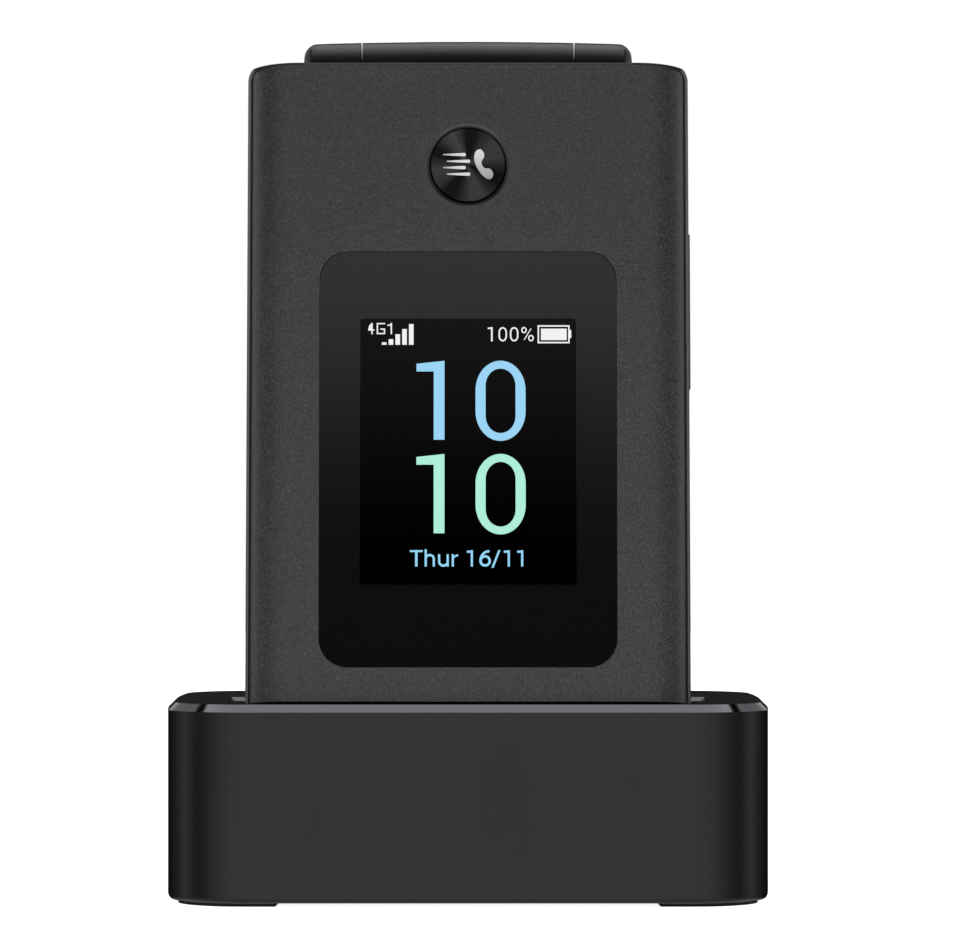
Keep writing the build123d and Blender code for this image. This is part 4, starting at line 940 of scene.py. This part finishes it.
class FLIPPHONE_OT_outer_screen(bpy.types.Operator):
    """Draws the lit clock, date and status line of the outer display"""

    bl_idname = "flip_phone.outer_screen"
    bl_label = "Outer screen"

    # (left, right, low, high) in the phone's frame
    display = (-13.72, 13.75, 32.38, 66.46)
    battery = (8.86, 12.94, 63.27, 65.60)
    battery_stroke = 0.19
    battery_fill = (9.29, 12.56, 63.68, 65.16)
    battery_tip = (12.94, 13.15, 63.95, 64.99)
    hours_low = 50.75
    minutes_low = 38.78
    date_low = 34.66
    charge_low = 63.52
    bar_low = 63.08
    network_low = 64.42
    bar_heights = (0.32, 0.72, 1.36, 2.03, 2.67)
    bar_left = -10.97
    bar_pitch = 0.862
    bar_width = 0.59

    def execute(self, context):
        looks = context.scene.flip_phone_screen
        self.front = phone_box("outer_window")[0].y
        self.panel()
        status = glowing("screen_white", rgba(looks.status))
        hours = glowing("screen_hours", rgba(looks.hours))
        minutes = glowing("screen_minutes", rgba(looks.minutes))
        day = glowing("screen_date", rgba(looks.day))
        self.lit("hours", 0, self.hours_low, self.ten(looks), hours)
        self.lit("minutes", 0, self.minutes_low, self.ten(looks), minutes)
        self.write("date", self.date_low, self.date(), day)
        self.write("charge", self.charge_low, self.hundred_percent(), status)
        for index, height in enumerate(self.bar_heights):
            loop = box(0, self.bar_width, 0, height)
            left = self.bar_left + self.bar_pitch * index
            self.lit(f"signal_bar_{index + 1}", left, self.bar_low, [loop], status)
        left, right, low, high = self.battery
        stroke = self.battery_stroke
        case = [box(*self.battery), box(left + stroke, right - stroke, low + stroke, high - stroke)]
        self.lit("battery_outline", 0, 0, case, status)
        self.lit("battery_fill", 0, 0, [box(*self.battery_fill)], status)
        self.lit("battery_tip", 0, 0, [box(*self.battery_tip)], status)
        self.write("network", self.network_low, self.network(), status)
        return {"FINISHED"}

    def panel(self):
        """The display area behind the window, a little darker than the window round it, with a painted reflection
        lightening it towards its top.
        """
        material, tree = new_material("screen_ground", Specular_IOR_Level=0.13, IOR=1.5)
        # painted reflection: the ground is drawn black at the display's foot and dark grey at its top
        shade = mixed(between(in_phone(tree)[2], 33.0, 60.0), grey(0), grey(7))
        feed(material, Base_Color=shade, Roughness=plus(touched(tree, 0.015, 0.03), 0.03))
        place = at_front(0, self.front, 0)
        loop = rounded(*self.display, 0.4)
        flat_piece("screen_ground", [loop], PRINTED, place, "lid", material)

    def lit(self, name, x, z, loops, material):
        flat_piece(name, loops, LIT, at_front(x, self.front, z), "lid", material)

    def write(self, name, baseline, letters, material):
        """One piece per letter, each given as (left, loops)."""
        for index, (left, loops) in enumerate(letters):
            self.lit(f"{name}_{index + 1}", left, baseline, loops, material)

    def ten(self, looks):
        """The large 10: a 1 with its flag, and a tall ring with straight sides."""
        stroke = looks.digit_stroke
        top = looks.digit_height
        left, right, low, round_x, round_z = 0.955, 7.32, -0.02, 3.18, 3.8
        outer = rounded(left, right, low, top, round_x, round_z, 20)
        inside = (left + stroke, right - stroke, 0.98, top - 1.02)
        inner = rounded(*inside, round_x - stroke, round_z - 1.6, 20)
        one = shifted(figure_one(3.565, 1.37, top - 0.135, 0.99), -6.555, 0.125)
        return [one, outer, inner]

    def date(self):
        """Thur 16/11"""
        stroke, tall, small = 0.27, 2.09, 1.57
        capital = [
            (0.665, 0), (0.975, 0), (0.975, 1.84), (1.64, 1.84), (1.64, tall), (0, tall), (0, 1.84),
            (0.665, 1.84),
        ]
        one = figure_one(0.768, stroke, tall, 0.25)
        slant = [(0, -0.15), (0.28, -0.15), (1.15, tall), (0.88, tall)]
        return [
            (-7.37, [capital]),
            (-5.495, [arched(1.29, stroke, 0.97, 1.61, 1.33, 2.2)]),
            (-3.794, [turned_over(arched(1.35, stroke, 0.97, 1.6, 1.3, small), 1.35, small)]),
            (-2.068, [self.small_r(0.82, stroke, small)]),
            (-0.148, [one]),
            (1.396, figure_six()),
            (2.96, [slant]),
            (4.53, [one]),
            (6.231, [one]),
        ]

    def small_r(self, width, stroke, small):
        under = arc(width, 0.86, width - stroke, 0.44, 180, 90, 8)
        over = [(width, small), (width - 0.2, small - 0.03), (stroke, 1.32), (stroke, small), (0, small)]
        return [(0, 0), (stroke, 0), *under, *over]

    def hundred_percent(self):
        """100%"""
        zero = [
            rounded(0.08, 1.16, 0.0, 1.84, 0.54, 0.68, 14), rounded(0.27, 0.97, 0.19, 1.65, 0.35, 0.5, 14),
        ]
        sign = [
            rounded(0.05, 0.76, 1.04, 1.86, 0.355, 0.41, 10), rounded(0.22, 0.59, 1.2, 1.7, 0.185, 0.25, 10),
            [(0.36, 0.2), (0.5, 0.2), (1.37, 1.65), (1.23, 1.65)],
            rounded(0.93, 1.66, 0.0, 0.84, 0.365, 0.42, 10), rounded(1.1, 1.49, 0.16, 0.68, 0.195, 0.26, 10),
        ]
        return [(2.51, [figure_one(0.63, 0.21, 1.84, 0.18)]), (3.803, zero), (5.256, zero), (6.726, sign)]

    def network(self):
        """4G1 in square letters"""
        four = [
            (0.43, 0.03), (0.61, 0.03), (0.61, 0.48), (0.82, 0.48), (0.82, 0.65), (0.61, 0.65), (0.61, 1.47),
            (0.43, 1.47), (0.32, 1.24), (0.20, 1.24), (0.04, 0.70), (0.04, 0.48), (0.43, 0.48),
        ]
        letter_g = [
            (1.10, 1.47), (0.03, 1.47), (0.03, 0.03), (1.10, 0.03), (1.10, 0.76), (0.50, 0.76), (0.50, 0.60),
            (0.93, 0.60), (0.93, 0.19), (0.20, 0.19), (0.20, 1.31), (1.10, 1.31),
        ]
        one = [
            (0.63, 1.47), (0.45, 1.47), (0.36, 1.26), (0.03, 1.26), (0.03, 1.10), (0.45, 1.10), (0.45, 0.03),
            (0.63, 0.03),
        ]
        return [(-12.75, [four]), (-11.66, [letter_g]), (-10.31, [one])]


class FLIPPHONE_OT_button_mark(bpy.types.Operator):
    """Inlays the handset and speed lines in the round quick-call button"""

    bl_idname = "flip_phone.button_mark"
    bl_label = "Quick-call button mark"

    handset = (
        (1.47, 2.02), (1.15, 1.89), (0.90, 1.54), (0.79, 1.05), (0.84, 0.51), (1.02, -0.07),
        (1.31, -0.64), (1.69, -1.19), (2.13, -1.61), (2.63, -1.86), (3.00, -1.74), (3.21, -1.35),
        (3.15, -0.95), (2.91, -0.60), (2.60, -0.45), (2.27, -0.46), (1.99, -0.31), (1.79, 0.01),
        (1.73, 0.35), (1.83, 0.65), (2.00, 0.89), (2.07, 1.23), (1.97, 1.61), (1.76, 1.91),
    )
    # (left, right, height) of each line; its left end is thin and its right end thick
    lines = ((-3.20, -0.275, 1.33), (-2.74, 0.285, 0.465), (-3.20, -0.275, -0.36), (-2.74, 0.285, -1.205))
    thin = 0.08
    thick = 0.225

    def execute(self, context):
        looks = context.scene.flip_phone_button
        low, high = phone_box("quick_call_button")
        place = at_front(0, low.y, (low.z + high.z) / 2)
        # painted shade: the handset is drawn darker towards its foot; the speed lines are drawn darker towards
        # their left ends
        silver = silver_mark("handset_silver", rgba(looks.mark), 1, (-1.9, 0.5), (2.1, 0.98))
        streaked = silver_mark("speed_line_silver", rgba(looks.mark), 0, (-3.2, 0.6), (-1.2, 1.0))
        deep = 2 * looks.mark_height
        outline = [self.handset]
        flat_piece("handset_mark", outline, deep, place, "quick_call", silver, smooth=True)
        for index, (left, right, height) in enumerate(self.lines):
            right_end = arc(right - self.thick, height, self.thick, self.thick, -85, 85, 12)
            left_end = arc(left + self.thin, height, self.thin, self.thin, 95, 265, 8)
            name = f"speed_line_{index + 1}"
            flat_piece(name, [right_end + left_end], deep, place, "quick_call", streaked)
        return {"FINISHED"}


class FLIPPHONE_OT_key_legends(bpy.types.Operator):
    """Prints digits, letters and signs on the keys"""

    bl_idname = "flip_phone.key_legends"
    bl_label = "Key legends"

    letters = {
        "2": "ABC", "3": "DEF", "4": "GHI", "5": "JKL", "6": "MNO", "7": "PQRS", "8": "TUV", "9": "WXYZ",
        "0": "+",
    }

    digit_shift = -3.4
    letter_shift = 2.2
    ok_height = 1.9
    rocker_mark_inset = 3.2

    def execute(self, context):
        looks = context.scene.flip_phone_keypad
        ink = printed("key_print", rgba(looks.legend))
        self.first_digit(looks.digit_height, ink)
        for digit, sub in self.letters.items():
            node = "key_" + digit
            self.legend(f"legend_{digit}", digit, node, looks.digit_height, self.digit_shift, ink)
            self.legend(f"letters_{digit}", sub, node, looks.letter_height, self.letter_shift, ink)
        self.legend("legend_hash", "#", "key_hash", looks.digit_height * 0.8, 0.0, ink)
        self.legend("legend_star", "*", "key_star", looks.digit_height, 0.0, ink)
        self.legend("legend_ok", "OK", "ok_key", self.ok_height, 0.0, ink)
        self.navigation_marks()
        for side in ("left", "right"):
            self.mark(f"soft_bar_{side}", [rounded(-2.6, 2.6, -0.4, 0.4, 0.39)], "soft_key_" + side, ink)
        self.call_marks(looks)
        self.volume_marks(ink)
        return {"FINISHED"}

    def face(self, node):
        """The middle of a key's face."""
        low, high = phone_box(node)
        return (low.x + high.x) / 2, low.y, (low.z + high.z) / 2

    def legend(self, name, text, node, height, shift, ink):
        x, y, z = self.face(node)
        mesh = centred_word(name, text, PRINTED, height, at_front(x + shift, y, z))
        piece(name, mesh, node, ink)

    def mark(self, name, loops, node, ink, turn=0.0, scale=1.0, smooth=False):
        """A printed shape in the middle of a key's face, turned by some degrees."""
        laid = Matrix.Rotation(math.radians(turn), 4, "Z") @ Matrix.Diagonal((scale, scale, 1, 1))
        place = at_front(*self.face(node)) @ laid
        flat_piece(name, loops, PRINTED, place, node, ink, smooth)

    def first_digit(self, tall, ink):
        """A 1 with its flag, drawn like the 1 of the outer screen."""
        width, stroke, flag = 0.36 * tall, 0.13 * tall, 0.12 * tall
        loop = shifted(figure_one(width, stroke, tall, flag), -width / 2, -tall / 2)
        self.mark("legend_1", [loop], "key_1", ink)

    def navigation_marks(self):
        dark = printed("nav_print", grey(40))
        chevron = [(-1.1, 6.6), (0, 7.7), (1.1, 6.6), (0.8, 6.3), (0, 7.1), (-0.8, 6.3)]
        for index in range(4):
            self.mark(f"nav_arrow_{index + 1}", [chevron], "nav_ring", dark, turn=90 * index)

    def call_marks(self, looks):
        handset = shifted(FLIPPHONE_OT_button_mark.handset, -1.9, -0.1)
        for node, shade, turn in (("call_key", looks.call, 8), ("end_key", looks.end, -117)):
            ink = printed(node + "_print", rgba(shade))
            self.mark(node + "_mark", [handset], node, ink, turn=turn, scale=1.05, smooth=True)

    def volume_marks(self, ink):
        low, high = phone_box("volume_rocker")
        y = (low.y + high.y) / 2
        sideways = Matrix.Rotation(math.pi / 2, 4, "Z") @ STANDING
        for name, loop, z in (
            ("volume_plus", plus_sign(0.55, 0.09), high.z - self.rocker_mark_inset),
            ("volume_minus", box(-0.55, 0.55, -0.09, 0.09), low.z + self.rocker_mark_inset),
        ):
            place = PHONE @ Matrix.Translation((high.x, y, z)) @ sideways
            flat_piece(name, [loop], PRINTED, place, "rocker", ink)


class FLIPPHONE_OT_details(bpy.types.Operator):
    """Adds the camera ring and lens, the sound meshes, the inner screen and the battery's marks"""

    bl_idname = "flip_phone.details"
    bl_label = "Camera, sound and battery details"

    trim_radii = (4.25, 3.75)
    barrel_radii = (2.6, 1.7)
    # (radius, how far proud) of the rings that the lens is built from
    lens_rings = ((1.68, 0.0), (1.68, 0.02), (1.4, 0.055), (0.9, 0.085), (0.4, 0.1))
    lens_steps = 40
    weave_pitch = 0.35

    def execute(self, context):
        looks = context.scene.flip_phone_details
        self.camera(looks)
        self.sound(looks)
        self.inner_screen()
        self.battery()
        return {"FINISHED"}

    def camera(self, looks):
        low, high = phone_box("camera_window")
        z = (low.z + high.z) / 2
        place = at_back(0, high.y, 0)
        ring = metal("trim_ring", rgba(looks.ring), 0.28)
        loops = [circle(0, z, radius) for radius in self.trim_radii]
        flat_piece("camera_ring", loops, 0.2, place, "base", ring)
        glass = smoked_panel("lens_glass", srgb(10, 12, 24), 0.02, Coat_Weight=1.0)
        barrel = moulded("lens_barrel", grey(16), 0.35, 0.3, 0.004)
        loops = [circle(0, z, radius) for radius in self.barrel_radii]
        flat_piece("lens_barrel", loops, 0.12, place, "base", barrel)
        piece("lens_glass", self.lens(high.y, z), "base", glass)

    def lens(self, back, z):
        """A small domed glass."""
        shape = bmesh.new()
        rings = []
        for radius, proud in self.lens_rings:
            points = circle(0, z, radius, self.lens_steps)
            rings.append([shape.verts.new((across, back + proud, up)) for across, up in points])
        for inner, outer in zip(rings, rings[1:]):
            for index in range(self.lens_steps):
                after = (index + 1) % self.lens_steps
                shape.faces.new((inner[index], inner[after], outer[after], outer[index]))
        shape.faces.new(rings[0])
        shape.faces.new(rings[-1])
        bmesh.ops.transform(shape, matrix=PHONE, verts=shape.verts)
        bmesh.ops.recalc_face_normals(shape, faces=shape.faces)
        for face in shape.faces:
            face.smooth = True
        mesh = bpy.data.meshes.new("lens_glass")
        shape.to_mesh(mesh)
        shape.free()
        return mesh

    def sound(self, looks):
        """Woven mesh seen through the earpiece and loudspeaker slots."""
        fabric = self.mesh_fabric(rgba(looks.mesh))
        for name, node, body, loop in (
            ("speaker_mesh", "loudspeaker", "base", rounded(-4.6, 4.6, -3.6, 3.6, 0.8)),
            ("earpiece_mesh", "earpiece", "lid", rounded(-4.7, 4.7, -1.7, 1.7, 0.6)),
        ):
            low, high = phone_box(node)
            place = at_back((low.x + high.x) / 2, high.y + 0.06, (low.z + high.z) / 2)
            flat_piece(name, [loop], 0.1, place, body, fabric)

    def mesh_fabric(self, shade):
        material, tree = new_material("sound_mesh", Roughness=0.6)
        across, _, up = in_phone(tree)
        threads = []
        for along in (across, up):
            wave = maths("SINE", times(along, 2 * math.pi / self.weave_pitch))
            threads.append(maths("ABSOLUTE", wave))
        weave = maths("MAXIMUM", *threads)
        return feed(
            material, Base_Color=mixed(weave, grey(2), shade), Normal=bumped(weave, 0.00006, 0.8)
        )

    def inner_screen(self):
        """The main display, off: a deeper black area within its window."""
        low, high = phone_box("main_window")
        material = smoked_panel("inner_screen_ground", grey(4), 0.02, Specular_IOR_Level=0.6)
        half = (high.x - low.x) / 2 - 3.0
        loop = rounded(-half, half, low.z + 6.0, high.z - 4.0, 0.4)
        flat_piece("inner_screen", [loop], PRINTED, at_back(0, high.y, 0), "lid", material)

    def battery(self):
        """The marks of the battery's poles, and a pale band printed round its foot."""
        low, high = phone_box("battery")
        ink = printed("battery_print", grey(30))
        for name, loop, x in (
            ("battery_plus", plus_sign(1.5, 0.25), -9.0),
            ("battery_minus", box(-1.5, 1.5, -0.25, 0.25), -14.0),
        ):
            flat_piece(name, [loop], PRINTED, at_back(x, high.y, high.z - 4.5), "base", ink)
        ink = printed("battery_band_print", grey(170))
        loop = rounded(low.x + 1.0, high.x - 1.0, low.z + 4.0, low.z + 26.0, 1.0)
        flat_piece("battery_band", [loop], PRINTED, at_back(0, high.y, 0), "base", ink)


class FLIPPHONE_PT_panel(bpy.types.Panel):
    """Buttons for each group of pieces"""

    bl_idname = "FLIPPHONE_PT_panel"
    bl_label = "Flip phone"
    bl_space_type = "VIEW_3D"
    bl_region_type = "UI"
    bl_category = "Flip phone"

    def draw(self, context):
        for operator, settings, _ in STEPS:
            self.layout.operator(operator.bl_idname)
            group = getattr(context.scene, settings)
            for name in group.bl_rna.properties.keys():
                if name not in ("rna_type", "name"):
                    self.layout.prop(group, name)


STEPS = (
    (FLIPPHONE_OT_stage, "flip_phone_stage", FlipPhoneStage),
    (FLIPPHONE_OT_finishes, "flip_phone_finishes", FlipPhoneFinishes),
    (FLIPPHONE_OT_outer_screen, "flip_phone_screen", FlipPhoneScreen),
    (FLIPPHONE_OT_button_mark, "flip_phone_button", FlipPhoneButton),
    (FLIPPHONE_OT_key_legends, "flip_phone_keypad", FlipPhoneKeypad),
    (FLIPPHONE_OT_details, "flip_phone_details", FlipPhoneDetails),
)


def register():
    for operator, name, group in STEPS:
        bpy.utils.register_class(group)
        setattr(bpy.types.Scene, name, PointerProperty(type=group))
        bpy.utils.register_class(operator)
    bpy.utils.register_class(FLIPPHONE_PT_panel)


def unregister():
    bpy.utils.unregister_class(FLIPPHONE_PT_panel)
    for operator, name, group in reversed(STEPS):
        bpy.utils.unregister_class(operator)
        delattr(bpy.types.Scene, name)
        bpy.utils.unregister_class(group)


def main():
    register()
    for operator, _, _ in STEPS:
        area, name = operator.bl_idname.split(".")
        getattr(getattr(bpy.ops, area), name)()


if __name__ == "__main__":
    main()
